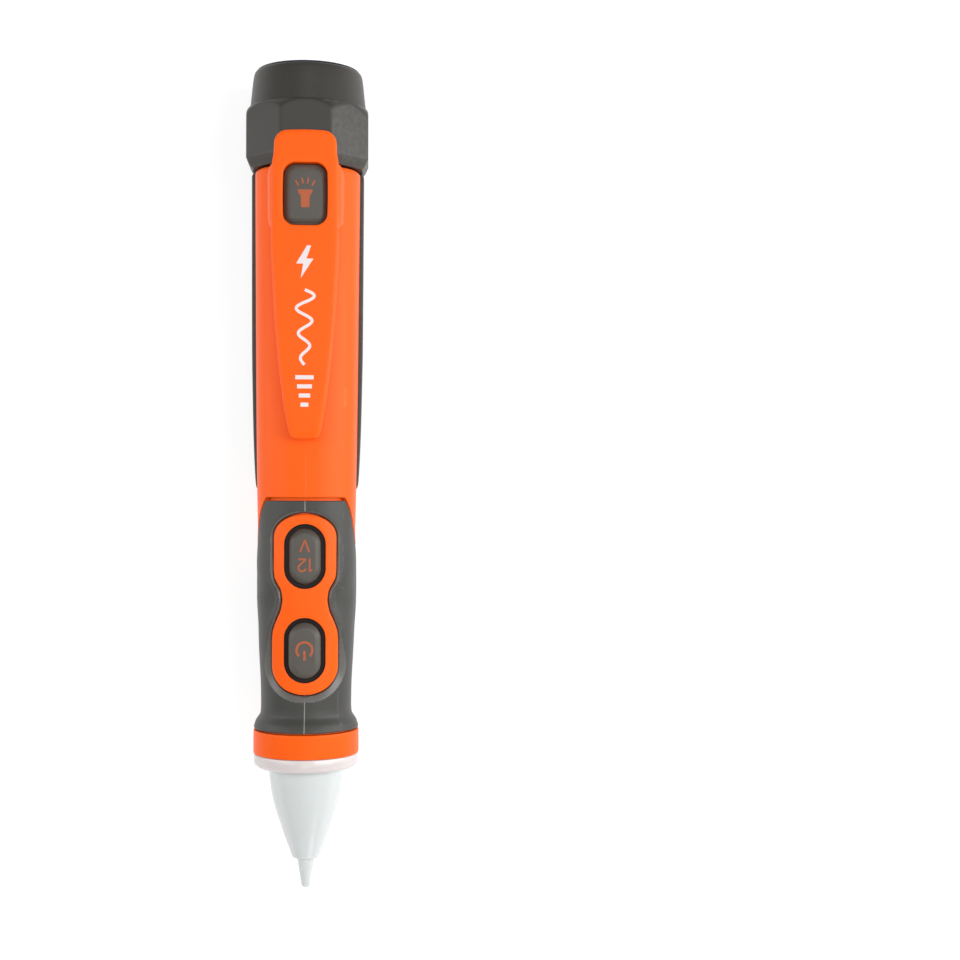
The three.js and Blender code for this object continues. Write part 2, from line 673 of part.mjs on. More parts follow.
add("torch_button", buildTorchButton(), buttonGray);
add("torch_button_seal", buildSeal(
  roundedBox(4.7, 54.3, 65.5, 1), TORCH_HOLE, 8.5), rubber);
for (const [name, y, place] of SWITCHES) {
  if (place) {
    add(`${name}_button`, buildGripButton(place), buttonGray);
    const [outer, inner] = [stadium(place, FLANGE_WIDTH + 0.2), stadium(place, GAP)];
    add(`${name}_button_seal`, buildSeal(outer, inner, FLANGE_TOP + GAP), rubber);
  }
  add(`${name}_switch`, buildSwitch(y), black);
  add(`${name}_switch_plunger`, buildPlunger(y), natural);
}

add("main_board", buildBoard(), boardGreen);
add("controller_chip", block(-3.2, 3.2, -3.4, 3, SWITCH_BASE, 4.3), black);
add("buzzer", post(0, 30, SWITCH_BASE, 6.6, 5.5, 28), black);
add("green_status_led", buildStatusLed(3.2), ledGreen);
add("red_alarm_led", buildStatusLed(-3.2), ledRed);
add("sensor_antenna", buildAntenna(), brass);
add("torch_wire_red", buildWire(1), wireRed);
add("torch_wire_black", buildWire(-1), wireBlack);
SCREW_PLACES.forEach((y, i) => add(`board_screw_${i + 1}`, buildScrew(y), steel));

add("battery_tray", buildTray(), black);
add("battery_cell_1", buildCell(-1, 1), cellWrap);
add("battery_cell_2", buildCell(1, -1), cellWrap);
add("battery_spring_1", buildSpring(-1, BAY_NOSE + CONTACT + GAP), steel);
add("battery_spring_2", buildSpring(1, BAY_TAIL - CONTACT - GAP - SPRING_LENGTH), steel);
add("battery_bridge", buildContact(-7.9, 7.9, BAY_TAIL - CONTACT), steel);
add("battery_contact_minus", buildContact(-7.9, -1.2, BAY_NOSE), steel);
add("battery_contact_plus", buildContact(1.2, 7.9, BAY_NOSE), steel);

export default tester;
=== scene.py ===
"""Pen-style non contact voltage tester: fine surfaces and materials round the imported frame.

Shapes are drawn in millimetres about the pen's long axis, with +Y to the torch at the tail and
+Z out of the front, and become metres in the frame when each piece is made.
"""
import math

import bmesh
import bpy
import numpy as np
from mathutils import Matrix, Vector
from mathutils.geometry import delaunay_2d_cdt


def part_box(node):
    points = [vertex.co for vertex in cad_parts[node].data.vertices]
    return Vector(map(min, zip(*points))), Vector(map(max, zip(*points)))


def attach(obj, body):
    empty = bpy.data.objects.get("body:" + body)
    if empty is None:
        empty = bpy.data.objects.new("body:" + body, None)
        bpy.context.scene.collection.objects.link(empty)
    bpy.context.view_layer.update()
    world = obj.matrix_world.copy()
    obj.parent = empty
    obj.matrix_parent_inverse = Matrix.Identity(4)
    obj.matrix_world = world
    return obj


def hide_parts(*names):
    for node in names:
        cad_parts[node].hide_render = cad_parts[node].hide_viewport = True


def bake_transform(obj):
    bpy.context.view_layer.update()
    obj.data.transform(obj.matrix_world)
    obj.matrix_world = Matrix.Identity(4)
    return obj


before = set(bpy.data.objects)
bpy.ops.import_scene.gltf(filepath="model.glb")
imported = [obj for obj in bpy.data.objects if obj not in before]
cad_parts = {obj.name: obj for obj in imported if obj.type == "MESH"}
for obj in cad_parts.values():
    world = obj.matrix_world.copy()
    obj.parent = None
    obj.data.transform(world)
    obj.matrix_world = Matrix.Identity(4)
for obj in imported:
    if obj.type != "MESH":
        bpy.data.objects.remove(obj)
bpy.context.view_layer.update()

MM = 0.001
PI = math.pi


# ------------------------------------------------------------------ sizes from the frame
def box_mm(node, axis_height=None):
    """A node's lowest and highest corners in millimetres, about the pen's axis."""
    height = AXIS_HEIGHT if axis_height is None else axis_height
    low, high = (np.array(corner) / MM - (0, 0, height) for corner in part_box(node))
    return low, high


AXIS_HEIGHT = sum(box_mm("tail_cap", 0)[i][2] for i in (0, 1)) / 2
HOUSING = box_mm("barrel_housing")
GRIP = box_mm("grip_overmold")
COVER = box_mm("rear_cover")
CAP = box_mm("tail_cap")
BEZEL = box_mm("lens_bezel")
CONE = box_mm("nose_cone")
CLIP = box_mm("pocket_clip")
LEAF = box_mm("pocket_clip_leaf")
TORCH_KEY = box_mm("torch_button")
VOLTAGE_KEY = box_mm("voltage_button")
POWER_KEY = box_mm("power_button")

WALL = 1.4
GRIP_THICKNESS = 1.3  # rubber and the hairline under it
BODY_TAIL = CLIP[0][1] + 14.7
BAND_NOSE = HOUSING[0][1]
GRIP_FRONT = GRIP[1][1]  # tail edge of the grip on the front
GRIP_SIDE = GRIP_FRONT - 10.4  # and on the sides
GRIP_NOSE = GRIP[0][1]
GROOVE = 0.7  # between the grip's tail edge and the housing
BEVEL_DEPTH = 0.5  # of the bevel beside the island
COVER_TOP = COVER[1][2]
COVER_STEP = COVER[0][1] - 3.6  # where the housing steps out again, past the cover's slide
COVER_WALL = 1.1
LEDGE = COVER_TOP + 0.3  # the housing's ledge over the cover's edges
BODY_HALF = 11  # rough half width of the body
LEDGE_ANGLE = math.asin(LEDGE / BODY_HALF)
RING_FLAT = CAP[1][2]
RING_LENGTH = 13.4
SPIGOT_RADIUS = 8.9
BORE_RADIUS = 7.6
SPIGOT_END = 76.0
THREAD_PITCH = 1.5
KEY_GAP = 0.8  # from a grip key's nominal outline to the edge of its hole
KEY_FLANGE = 1.2  # width of a grip key's hidden flange
WINDOW_HALF = 4.5  # the clip's window, round the torch key
WINDOW_NOSE = 53.7
WINDOW_TAIL = 66.8
TORCH_KEY_PROUD = 0.3
TORCH_CROWN = 0.15  # fall of a key's face towards its sides
KEY_CROWN = 0.12
INK_HEIGHT = 0.035  # of the marks on the keys
PRINT_HEIGHT = 0.03  # of the print on the clip


# ------------------------------------------------------------------ curves
def smooth(*pairs):
    """A smooth function through (place, value) pairs that never swings past its points."""
    x, v = (np.array(column, float) for column in zip(*sorted(pairs)))
    slope = np.diff(v) / np.diff(x)
    before = np.concatenate([slope[:1], slope])
    after = np.concatenate([slope, slope[-1:]])
    same = before * after > 0
    tangent = np.where(same, 2 * before * after / np.where(same, before + after, 1), 0)

    def value(place):
        place = np.clip(np.asarray(place, float), x[0], x[-1])
        i = np.clip(np.searchsorted(x, place) - 1, 0, len(x) - 2)
        span = x[i + 1] - x[i]
        t = (place - x[i]) / span
        start = (2 * t**3 - 3 * t**2 + 1) * v[i] + (t**3 - 2 * t**2 + t) * span * tangent[i]
        end = (3 * t**2 - 2 * t**3) * v[i + 1] + (t**3 - t**2) * span * tangent[i + 1]
        return start + end

    return value


def ease(t):
    t = np.clip(t, 0, 1)
    return t * t * (3 - 2 * t)


half_width = smooth(
    (68, 11.35), (48, 11.2), (18, 10.95), (2, 10.75), (-6, 10.6), (-11, 10.5), (-18, 10.75),
    (-24, 10.75), (-31, 10.42), (-37, 10.15), (-44, 9.8), (-48, 9.75), (-49.6, 9.85),
    (-51.6, 10.95), (-53.2, 11.35), (-59, 11.4))
front_height = smooth(
    (68, 10.9), (18, 10.75), (-3, 10.6), (-18, 10.6), (-31, 10.2), (-44, 9.9), (-48, 9.9),
    (-49.6, 10.0), (-51.6, 10.95), (-53.2, 11.35), (-59, 11.4))
back_depth = smooth(
    (68, 12.0), (8, 12.0), (-8, 11.9), (-20, 11.6), (-31, 11.0), (-44, 10.4), (-49.6, 10.4),
    (-51.6, 11.0), (-53.2, 11.35), (-59, 11.4))
squareness = smooth((68, 2.5), (-10, 2.5), (-44, 2.15), (-53.2, 2), (-59, 2))
cover_half = smooth(
    (68, 12.15), (30, 12.0), (18, 11.8), (10, 11.6), (2, 11.25), (-1, 11.0), (-2, 10.8))
cover_back = smooth((68, 13.35), (6, 13.35), (2, 13.2), (-2, 12.6))


def oval(angle, width, front, back, square):
    """Points in X and Z of a rounded-square section, by direction."""
    c, s = np.cos(angle), np.sin(angle)
    height = np.where(s > 0, front, back)
    reach = (np.abs(c / width) ** square + np.abs(s / height) ** square) ** (-1 / square)
    return reach * c, reach * s


def body(angle, y, inset=0.0):
    """Points on the body's skin, moved inwards by inset."""
    angle, y, inset = np.broadcast_arrays(angle, y, inset)
    x, z = oval(angle, half_width(y) - inset, front_height(y) - inset, back_depth(y) - inset,
                squareness(y))
    return np.stack([x, y, z], -1)


def under_cover(angle, y, inset=COVER_WALL + 0.3):
    """Points on the housing where the rear cover lies over it."""
    angle, y, inset = np.broadcast_arrays(angle, y, inset)
    x, z = oval(angle, cover_half(y) - inset, 8, cover_back(y) - inset, 3)
    return np.stack([x, y, z], -1)


def front_z(x, y):
    """Height of the body's front skin over the front view."""
    square = squareness(y)
    inside = np.clip(1 - np.abs(x / half_width(y)) ** square, 0, 1)
    return front_height(y) * inside ** (1 / square)


def edge_place(angle, margin=0.0):
    """Where the grip's tail edge runs: straight across the front, then slanting back."""
    drop = smooth((0.02, 1.0), (0.35, 0.62), (0.62, 0.16), (0.76, 0.0), (PI / 2, 0.0))
    turn = np.arctan2(np.sin(angle), np.abs(np.cos(angle)))
    share = np.where(turn > 0.02, drop(turn), 1.0)
    return GRIP_FRONT + margin + (GRIP_SIDE - GRIP_FRONT) * share


def seam(x, height=0.07, width=0.11):
    """The fine mould line down the front."""
    return height * np.exp(-((x / width) ** 2))


# ------------------------------------------------------------------ mesh making
class Skin:
    """Gathers surface patches in millimetres about the axis, and makes one object of them."""

    def __init__(self):
        self.points = []
        self.faces = []
        self.count = 0

    def add(self, points, faces):
        self.points.append(np.asarray(points, float).reshape(-1, 3))
        self.faces.extend([[i + self.count for i in face] for face in faces])
        self.count += len(self.points[-1])

    def grid(self, rows, closed=False):
        """Quads over rows of points; closed joins the end of each row to its start."""
        rows = np.asarray(rows, float)
        m, n = rows.shape[:2]
        columns = n if closed else n - 1
        i, j = np.meshgrid(np.arange(m - 1), np.arange(columns), indexing="ij")
        k = (j + 1) % n
        quads = np.stack([i * n + j, i * n + k, (i + 1) * n + k, (i + 1) * n + j], -1)
        self.add(rows, quads.reshape(-1, 4).tolist())

    def turned(self, profile, segments=128):
        """A skin turned about the axis; profile is (radius, y)."""
        angle = np.linspace(0, 2 * PI, segments, endpoint=False)
        self.grid([hoop(radius, y, angle) for radius, y in profile], closed=True)

    def sweep(self, loop, profile, surface):
        """Rings that follow a closed loop: profile is (offset outwards, height over surface)."""
        outward = loop_normals(loop)
        rows = []
        for offset, height in profile:
            flat = loop + outward * offset
            rows.append(np.column_stack([flat, surface(flat[:, 0], flat[:, 1]) + height]))
        self.grid(rows, closed=True)
        return rows

    def fill(self, loop, surface, holes=(), spacing=0.6):
        """Covers the inside of a loop, less its holes, on a surface z(x, y)."""
        points, faces = flat_fill(loop, holes, spacing)
        self.add(np.column_stack([points, surface(points[:, 0], points[:, 1])]), faces)

    def make(self, name, look, crease=38, replaces=(), rides="pen_body"):
        """One smooth object with the look as its material; edges past crease degrees stay sharp."""
        mesh = bpy.data.meshes.new(name)
        points = np.concatenate(self.points)
        points[:, 2] += AXIS_HEIGHT
        mesh.from_pydata((points * MM).tolist(), [], self.faces)
        work = bmesh.new()
        work.from_mesh(mesh)
        bmesh.ops.remove_doubles(work, verts=work.verts, dist=2e-6)
        bmesh.ops.dissolve_degenerate(work, edges=work.edges, dist=1e-7)
        bmesh.ops.recalc_face_normals(work, faces=work.faces)
        work.to_mesh(mesh)
        work.free()
        mesh.shade_smooth()
        mesh.set_sharp_from_angle(angle=math.radians(crease))
        mesh.materials.append(look)
        piece = bpy.data.objects.new(name, mesh)
        bpy.context.scene.collection.objects.link(piece)
        if rides:
            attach(piece, rides)
        if replaces:
            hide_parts(*replaces)
        return piece


def hoop(radius, y, angle):
    """Points round the axis; the radius is one number or one for each direction."""
    return np.stack([radius * np.cos(angle), np.full(angle.shape, float(y)),
                     radius * np.sin(angle)], -1)


def loop_normals(loop):
    """Outward unit normals of a closed loop that runs counterclockwise."""
    along = np.roll(loop, -1, 0) - np.roll(loop, 1, 0)
    outward = np.column_stack([along[:, 1], -along[:, 0]])
    return outward / np.linalg.norm(outward, axis=1)[:, None]


def even_loop(points, spacing):
    """The same closed loop with its points evenly spaced."""
    closed = np.vstack([points, points[:1]])
    run = np.concatenate([[0], np.cumsum(np.linalg.norm(np.diff(closed, axis=0), axis=1))])
    count = max(12, round(run[-1] / spacing))
    place = np.linspace(0, run[-1], count, endpoint=False)
    return np.column_stack([np.interp(place, run, closed[:, i]) for i in (0, 1)])


def inside(loop, points):
    """Which points lie inside a loop."""
    x, y = points[:, :1], points[:, 1:]
    ax, ay = loop[:, 0], loop[:, 1]
    bx, by = np.roll(ax, -1), np.roll(ay, -1)
    rise = np.where(by == ay, 1e-12, by - ay)
    cross = ((ay > y) != (by > y)) & (x < ax + (y - ay) / rise * (bx - ax))
    return cross.sum(1) % 2 == 1


def flat_fill(loop, holes, spacing):
    """Triangles over the inside of a loop, less its holes, with an even grid inside."""
    low, high = loop.min(0), loop.max(0)
    x, y = np.meshgrid(np.arange(low[0], high[0], spacing), np.arange(low[1], high[1], spacing))
    inner = np.column_stack([x.ravel(), y.ravel()])
    keep = inside(loop, inner)
    for other in (loop, *holes):
        near = np.linalg.norm(inner[:, None] - other[None], axis=2).min(1)
        keep &= near > 0.45 * spacing
    for hole in holes:
        keep &= ~inside(hole, inner)
    points = [tuple(p) for p in np.vstack([loop, *holes, inner[keep]])]
    edges = []
    start = 0
    for other in (loop, *holes):
        count = len(other)
        edges += [(start + i, start + (i + 1) % count) for i in range(count)]
        start += count
    made = delaunay_2d_cdt(points, edges, [], 0, 1e-7)
    flat = np.array([tuple(p) for p in made[0]])
    faces = np.array(made[2])
    middle = flat[faces].mean(1)
    keep = inside(loop, middle)
    for hole in holes:
        keep &= ~inside(hole, middle)
    return flat, faces[keep].tolist()


def flat_at(height):
    return lambda x, y: np.full(np.shape(x), float(height))


def bent_box(half, nose, tail, radius, bulge=0.0, spacing=0.3):
    """A rounded rectangle in the front view whose sides swell by bulge at mid-length."""
    points = []
    for cx, cy, start in ((half - radius, tail - radius, 0), (radius - half, tail - radius, 1),
                          (radius - half, nose + radius, 2), (half - radius, nose + radius, 3)):
        angle = np.linspace(start * PI / 2, (start + 1) * PI / 2, 24)
        points.append(np.column_stack([cx + radius * np.cos(angle), cy + radius * np.sin(angle)]))
    loop = even_loop(np.vstack(points), spacing)
    middle, reach = (nose + tail) / 2, (tail - nose) / 2
    loop[:, 0] *= 1 + bulge / half * (1 - ((loop[:, 1] - middle) / reach) ** 2)
    return loop


def mirrored(right, spacing):
    """A closed counterclockwise loop from its right side, given from nose to tail."""
    left = right[::-1] * (-1, 1)
    return even_loop(np.vstack([right, left]), spacing)


# ------------------------------------------------------------------ materials
def material(name, colour, roughness, mottle=0.04, grain=0.0, grain_size=0.3, vary=0.06, wear=0.0,
             **sockets):
    """Moulded material: colour clouds, uneven gloss, paler worn edges and grain, sizes in mm."""
    made = bpy.data.materials.new(name)
    made.use_nodes = True
    tree = made.node_tree
    shader = tree.nodes["Principled BSDF"]
    link = tree.links.new
    place = tree.nodes.new("ShaderNodeTexCoord").outputs["Object"]

    def noise(size, detail):
        node = tree.nodes.new("ShaderNodeTexNoise")
        node.inputs["Scale"].default_value = 1 / (size * MM)
        node.inputs["Detail"].default_value = detail
        link(place, node.inputs["Vector"])
        return node.outputs["Fac"]

    def mixed(share, first, second):
        node = tree.nodes.new("ShaderNodeMixRGB")
        link(share, node.inputs["Fac"])
        for socket, value in (("Color1", first), ("Color2", second)):
            if isinstance(value, tuple):
                node.inputs[socket].default_value = (*value, 1)
            else:
                link(value, node.inputs[socket])
        return node.outputs["Color"]

    def ranged(value, low, high, start=0.0, end=1.0):
        node = tree.nodes.new("ShaderNodeMapRange")
        for socket, number in (("From Min", start), ("From Max", end), ("To Min", low), ("To Max", high)):
            node.inputs[socket].default_value = number
        link(value, node.inputs["Value"])
        return node.outputs["Result"]

    darker = tuple(c * (1 - mottle) for c in colour)
    lighter = tuple(min(1, c * (1 + mottle)) for c in colour)
    surface = mixed(noise(9, 4), darker, lighter)
    if wear:
        edge = tree.nodes.new("ShaderNodeNewGeometry").outputs["Pointiness"]
        patchy = tree.nodes.new("ShaderNodeMath")
        patchy.operation = "MULTIPLY"
        link(ranged(edge, 0.0, wear, 0.51, 0.6), patchy.inputs[0])
        link(ranged(noise(1.1, 3), 0.3, 1.0, 0.35, 0.65), patchy.inputs[1])
        worn = tuple(min(1, c * 1.35 + 0.03) for c in colour)
        surface = mixed(patchy.outputs["Value"], surface, worn)
    link(surface, shader.inputs["Base Color"])
    link(ranged(noise(1.7, 5), max(0, roughness - vary), min(1, roughness + vary)),
         shader.inputs["Roughness"])
    if grain:
        bump = tree.nodes.new("ShaderNodeBump")
        bump.inputs["Strength"].default_value = grain
        bump.inputs["Distance"].default_value = 0.02 * MM
        link(noise(grain_size, 3), bump.inputs["Height"])
        link(bump.outputs["Normal"], shader.inputs["Normal"])
    for socket, value in sockets.items():
        shader.inputs[socket.replace("_", " ")].default_value = value
    return made


orange = material("orange_abs", (0.95, 0.112, 0.003), 0.4, grain=0.22, grain_size=0.22, mottle=0.025,
                  wear=0.5, Specular_IOR_Level=0.16)
gray = material("gray_abs", (0.038, 0.035, 0.03), 0.42, grain=0.25, grain_size=0.2, vary=0.03, wear=0.6,
                Specular_IOR_Level=0.4)
rubber = material("grip_rubber", (0.043, 0.0425, 0.038), 0.46, grain=0.6, grain_size=0.16,
                  mottle=0.05, wear=0.7, Specular_IOR_Level=0.4)
# Painted highlight: the bevel's rubber is paler than the grip's to stand in for the light it catches; its
# lower roughness is real gloss.
bevel_highlight_rubber = material("grip_rubber_smooth_painted_highlight", (0.105, 0.102, 0.094), 0.34, grain=0.15, mottle=0.05)
# Painted highlight: a pale colour on the mould line's fine ridge stands in for the light it catches.
mould_line_painted_highlight = material("mould_line_painted_highlight", (0.2, 0.2, 0.185), 0.4, grain=0.4)
key_rubber = material("key_rubber", (0.08, 0.073, 0.062), 0.45, grain=0.6, grain_size=0.14,
                      mottle=0.06, wear=0.5, Specular_IOR_Level=0.4)
mark_ink = material("orange_ink", (0.4, 0.085, 0.022), 0.5, grain=0.3, grain_size=0.12, mottle=0.1)
white_ink = material("white_ink", (0.76, 0.68, 0.69), 0.45, grain=0.3, grain_size=0.12)
milky = material("milky_polycarbonate", (0.62, 0.65, 0.645), 0.16, mottle=0.012, vary=0.02,
                 Subsurface_Weight=0.2, Subsurface_Scale=1.0 * MM, IOR=1.5)
# Painted light: a pinkish copy of the milky plastic for the flange, standing in for the orange band's
# light showing through it.
milky_painted_orange_light = material("milky_polycarbonate_flange_painted_orange_light", (0.66, 0.605, 0.595), 0.2, mottle=0.012,
                      vary=0.02, Subsurface_Weight=0.2, Subsurface_Scale=1.0 * MM, IOR=1.5)
black = material("black_nylon", (0.012, 0.012, 0.013), 0.5, grain=0.4)
seal = material("seal_rubber", (0.013, 0.009, 0.008), 0.75, grain=0.4, Specular_IOR_Level=0.25)
trim = material("dark_trim", (0.01, 0.014, 0.03), 0.28, vary=0.03, wear=0.3)
clear = material("clear_polycarbonate", (0.97, 0.98, 0.98), 0.04, mottle=0.0, vary=0.01,
                 Transmission_Weight=1.0, IOR=1.5)
mirror = material("mirror", (0.86, 0.87, 0.88), 0.06, mottle=0.01, vary=0.02, Metallic=1.0)
steel = material("plated_steel", (0.56, 0.57, 0.58), 0.3, vary=0.08, Metallic=1.0)
brass = material("brass", (0.6, 0.4, 0.13), 0.3, vary=0.08, Metallic=1.0)
board = material("solder_mask", (0.012, 0.13, 0.04), 0.32, mottle=0.12)
white_nylon = material("white_nylon", (0.7, 0.68, 0.62), 0.5, grain=0.2)
sleeve = material("cell_sleeve", (0.04, 0.045, 0.055), 0.32, mottle=0.05, wear=0.3)
led_white = material("led_white", (0.85, 0.78, 0.42), 0.2)
led_green = material("led_green", (0.16, 0.6, 0.2), 0.25)
led_red = material("led_red", (0.65, 0.08, 0.06), 0.25)
wire_red = material("wire_red", (0.42, 0.02, 0.02), 0.42)
wire_black = material("wire_black", (0.01, 0.01, 0.01), 0.42)


# ------------------------------------------------------------------ housing
def with_seam(angle, reach=0.03, count=13):
    """The same directions, with more of them close together at the mould line on the front."""
    return np.unique(np.concatenate([angle, PI / 2 + np.linspace(-reach, reach, count)]))


def island_loop(offset=0.0, spacing=0.3):
    """The orange island round the two grip keys, like a peanut shell in the front view."""
    nose, tail = -38.7, -11.7  # where its round ends start
    nose_half, tail_half = 7.1, 6.73
    side = smooth((nose, nose_half), (-34, nose_half), (-31.8, 6.98), (-30.4, 6.6), (-28.7, 5.95),
                  (-27, 5.25), (-24.7, 4.88), (-22.7, 5.2), (-21.4, 5.9), (-20, 6.55),
                  (-18, tail_half), (tail, tail_half))
    angle = np.linspace(0, PI / 2, 40)
    bluntness = 0.93

    def end(half, centre, reach):
        return np.column_stack([half * np.cos(angle) ** bluntness,
                                centre + reach * np.sin(angle) ** bluntness])

    low_arc = end(nose_half, nose, -6.3)[::-1]
    high_arc = end(tail_half, tail, 5.1)
    y = np.linspace(nose, tail, 120)[1:-1]
    loop = mirrored(np.vstack([low_arc, np.column_stack([side(y), y]), high_arc]), spacing)
    return loop + loop_normals(loop) * offset


def key_loop(box, offset):
    """A grip key's outline with fully round ends; the box holds its hidden flange too."""
    half = box[1][0] - KEY_FLANGE + offset
    return bent_box(half, box[0][1] + KEY_FLANGE - offset, box[1][1] - KEY_FLANGE + offset,
                    half - 0.01, spacing=0.25)


def island_z(x, y):
    """Height of the island's face, a little proud of the body's front skin."""
    return front_z(x, y) + 0.06


def housing_front(skin):
    """The skin above the cover's edges, from the tail down to the lip at the grip's edge."""
    share = with_seam(np.linspace(0, PI, 150), 0.035, 15)
    angle = LEDGE_ANGLE + share * (PI - 2 * LEDGE_ANGLE) / PI
    rounding = [(0.0, 0.9), (0.06, 0.55), (0.22, 0.25), (0.5, 0.06), (0.9, 0.0)]
    rows = [body(angle, BODY_TAIL - back, inset) for back, inset in rounding]
    start = BODY_TAIL - 1.2
    finish = edge_place(angle, GROOVE)
    for t in np.linspace(0, 1, 130):
        y = start + (finish + 0.25 - start) * t
        rows.append(body(angle, y, -seam(np.cos(angle) * BODY_HALF) * ease((9 - y) / 6)))
    lip = [(0.12, -0.05), (0.0, 0.06), (-0.05, 0.35), (-0.05, 1.0), (0.0, GRIP_THICKNESS)]
    for forward, inset in lip:
        rows.append(body(angle, finish + forward, inset))
    skin.grid(rows)


def housing_back(skin):
    """The lower skin between the cover's step and the grip, and the ledges over the cover."""
    under = np.linspace(PI - LEDGE_ANGLE, 2 * PI + LEDGE_ANGLE, 110)
    finish = edge_place(under, GROOVE)
    rows = [under_cover(under, np.full(under.shape, y)) for y in (8.2, 4.0, 0.0, COVER_STEP)]
    rows.append(body(under, COVER_STEP, 0.25))
    rows.append(body(under, COVER_STEP - 0.08, 0.06))
    for t in np.linspace(0, 1, 16):
        rows.append(body(under, COVER_STEP - 0.25 + (finish + 0.4 - COVER_STEP) * t))
    rows.append(body(under, finish, 0.06))
    rows.append(body(under, finish - 0.04, GRIP_THICKNESS))
    skin.grid(rows)

    for side in (-1, 1):
        y = np.linspace(COVER_STEP, BODY_TAIL - 0.3, 60)
        outer = half_width(y)
        inner = cover_half(y) - COVER_WALL - 0.3
        places = [(outer, LEDGE), (inner, LEDGE), (inner, -1.2), (inner, -2.8),
                  (inner - 1.0, -2.8), (inner - 1.2, 0.4)]
        skin.grid([np.column_stack([side * x + 0 * y, y, z + 0 * y]) for x, z in places])


def housing_nose(skin):
    """The core under the grip, the band and its bore."""
    around = np.linspace(0, 2 * PI, 180, endpoint=False)
    edge = edge_place(around, GROOVE) - 0.05
    rows = [body(around, edge + (GRIP_NOSE - 0.3 - edge) * t, GRIP_THICKNESS)
            for t in np.linspace(0, 1, 30)]
    skin.grid(rows, closed=True)
    band = with_seam(around)
    nose = BAND_NOSE
    steps = [(GRIP_NOSE - 0.3, GRIP_THICKNESS + 0.1), (GRIP_NOSE - 0.32, 0.5),
             (GRIP_NOSE - 0.36, 0.12), (GRIP_NOSE - 0.55, 0.0)]
    rows = [body(band, y, inset) for y, inset in steps]
    for y in np.linspace(GRIP_NOSE - 0.8, nose + 0.5, 10):
        rows.append(body(band, y, -seam(np.cos(band) * 11.4, 0.035)))
    rows += [body(band, nose + 0.2, 0.03), body(band, nose + 0.04, 0.14),
             body(band, nose, 0.4), body(band, nose, 2.0), body(band, nose + 4.5, 2.0)]
    skin.grid(rows, closed=True)


def housing_tail(skin):
    """The tail's end wall, the threaded spigot and the bore through both."""
    around = np.linspace(0, 2 * PI, 180, endpoint=False)
    end = BODY_TAIL
    upper = oval(around, half_width(end) - 0.9, front_height(end) - 0.9, 1, squareness(end))
    lower = oval(around, cover_half(end) - 1.6, 8, cover_back(end) - 1.6, 3)
    outline = np.where(np.sin(around) > 0, upper, lower)
    root = SPIGOT_RADIUS - 0.25
    thread_depth = 0.28
    rim = np.stack([outline[0], np.full(around.shape, end), outline[1]], -1)
    skin.grid([hoop(BORE_RADIUS, end - WALL, around), rim - (0, WALL, 0), rim,
               hoop(root, end, around)], closed=True)
    rows = []
    for y in np.arange(end, SPIGOT_END, 0.12):
        wave = np.sin(2 * PI * (y / THREAD_PITCH) - around)
        fade = ease((y - end - 0.8) / 0.8) * ease((SPIGOT_END - 0.4 - y) / 0.6)
        rows.append(hoop(root + thread_depth * (0.5 + 0.5 * np.clip(1.6 * wave, -1, 1)) * fade,
                         y, around))
    skin.grid(rows, closed=True)
    skin.turned([(root, rows[-1][0][1]), (SPIGOT_RADIUS - 0.5, SPIGOT_END),
                 (BORE_RADIUS, SPIGOT_END), (BORE_RADIUS, end - WALL)])


def housing_island(skin):
    """The island, with round edges at its rim and at the two key holes."""
    holes = [key_loop(box, KEY_GAP) for box in (VOLTAGE_KEY, POWER_KEY)]
    rim = island_loop(-0.12)
    skin.sweep(rim, [(0.0, -1.6), (0.0, -0.28), (-0.06, -0.1), (-0.22, 0.0)], island_z)
    for hole in holes:
        skin.sweep(hole, [(0.2, 0.0), (0.06, -0.06), (0.0, -0.2), (0.0, -3.2)], island_z)
    grown = [hole + loop_normals(hole) * 0.2 for hole in holes]
    skin.fill(rim - loop_normals(rim) * 0.22, island_z, grown, spacing=0.55)


def build_housing():
    skin = Skin()
    housing_front(skin)
    housing_back(skin)
    housing_nose(skin)
    housing_tail(skin)
    housing_island(skin)
    skin.make("barrel_housing_fine", orange, replaces=["barrel_housing"])


# ------------------------------------------------------------------ grip
def distance_to(loop, x, y):
    """Signed distance from points to a loop, positive outside it."""
    flat = np.column_stack([np.ravel(x), np.ravel(y)])
    found = np.empty(len(flat))
    for start in range(0, len(flat), 4000):
        part = flat[start:start + 4000]
        found[start:start + 4000] = np.linalg.norm(part[:, None] - loop[None], axis=2).min(1)
    found[inside(loop, flat)] *= -1
    return found.reshape(np.shape(x))


def bevel_width(y):
    """Width of the smooth bevel beside the island, widest round its nose end."""
    return 0.62 + 0.95 * ease((-31 - y) / 8)


def grip_lift(x, y, z):
    """Each point's distance from the island, and how far the grip stands off the plain body.

    A bevel runs down to the island, widest round its nose end, and the waist is scooped.
    """
    away = np.full(np.shape(x), 30.0)
    front = z > 0
    away[front] = distance_to(island_loop(0, spacing=0.15), x[front], y[front])
    slope = -BEVEL_DEPTH * np.clip(1 - (away - 0.15) / (bevel_width(y) - 0.15), 0, 1)
    scoop = 0.4 * np.exp(-(((y + 25) / 5.0) ** 2)) * ease((away - 0.6) / 1.4)
    return away, slope - scoop * ease((7.0 - away) / 4.5)


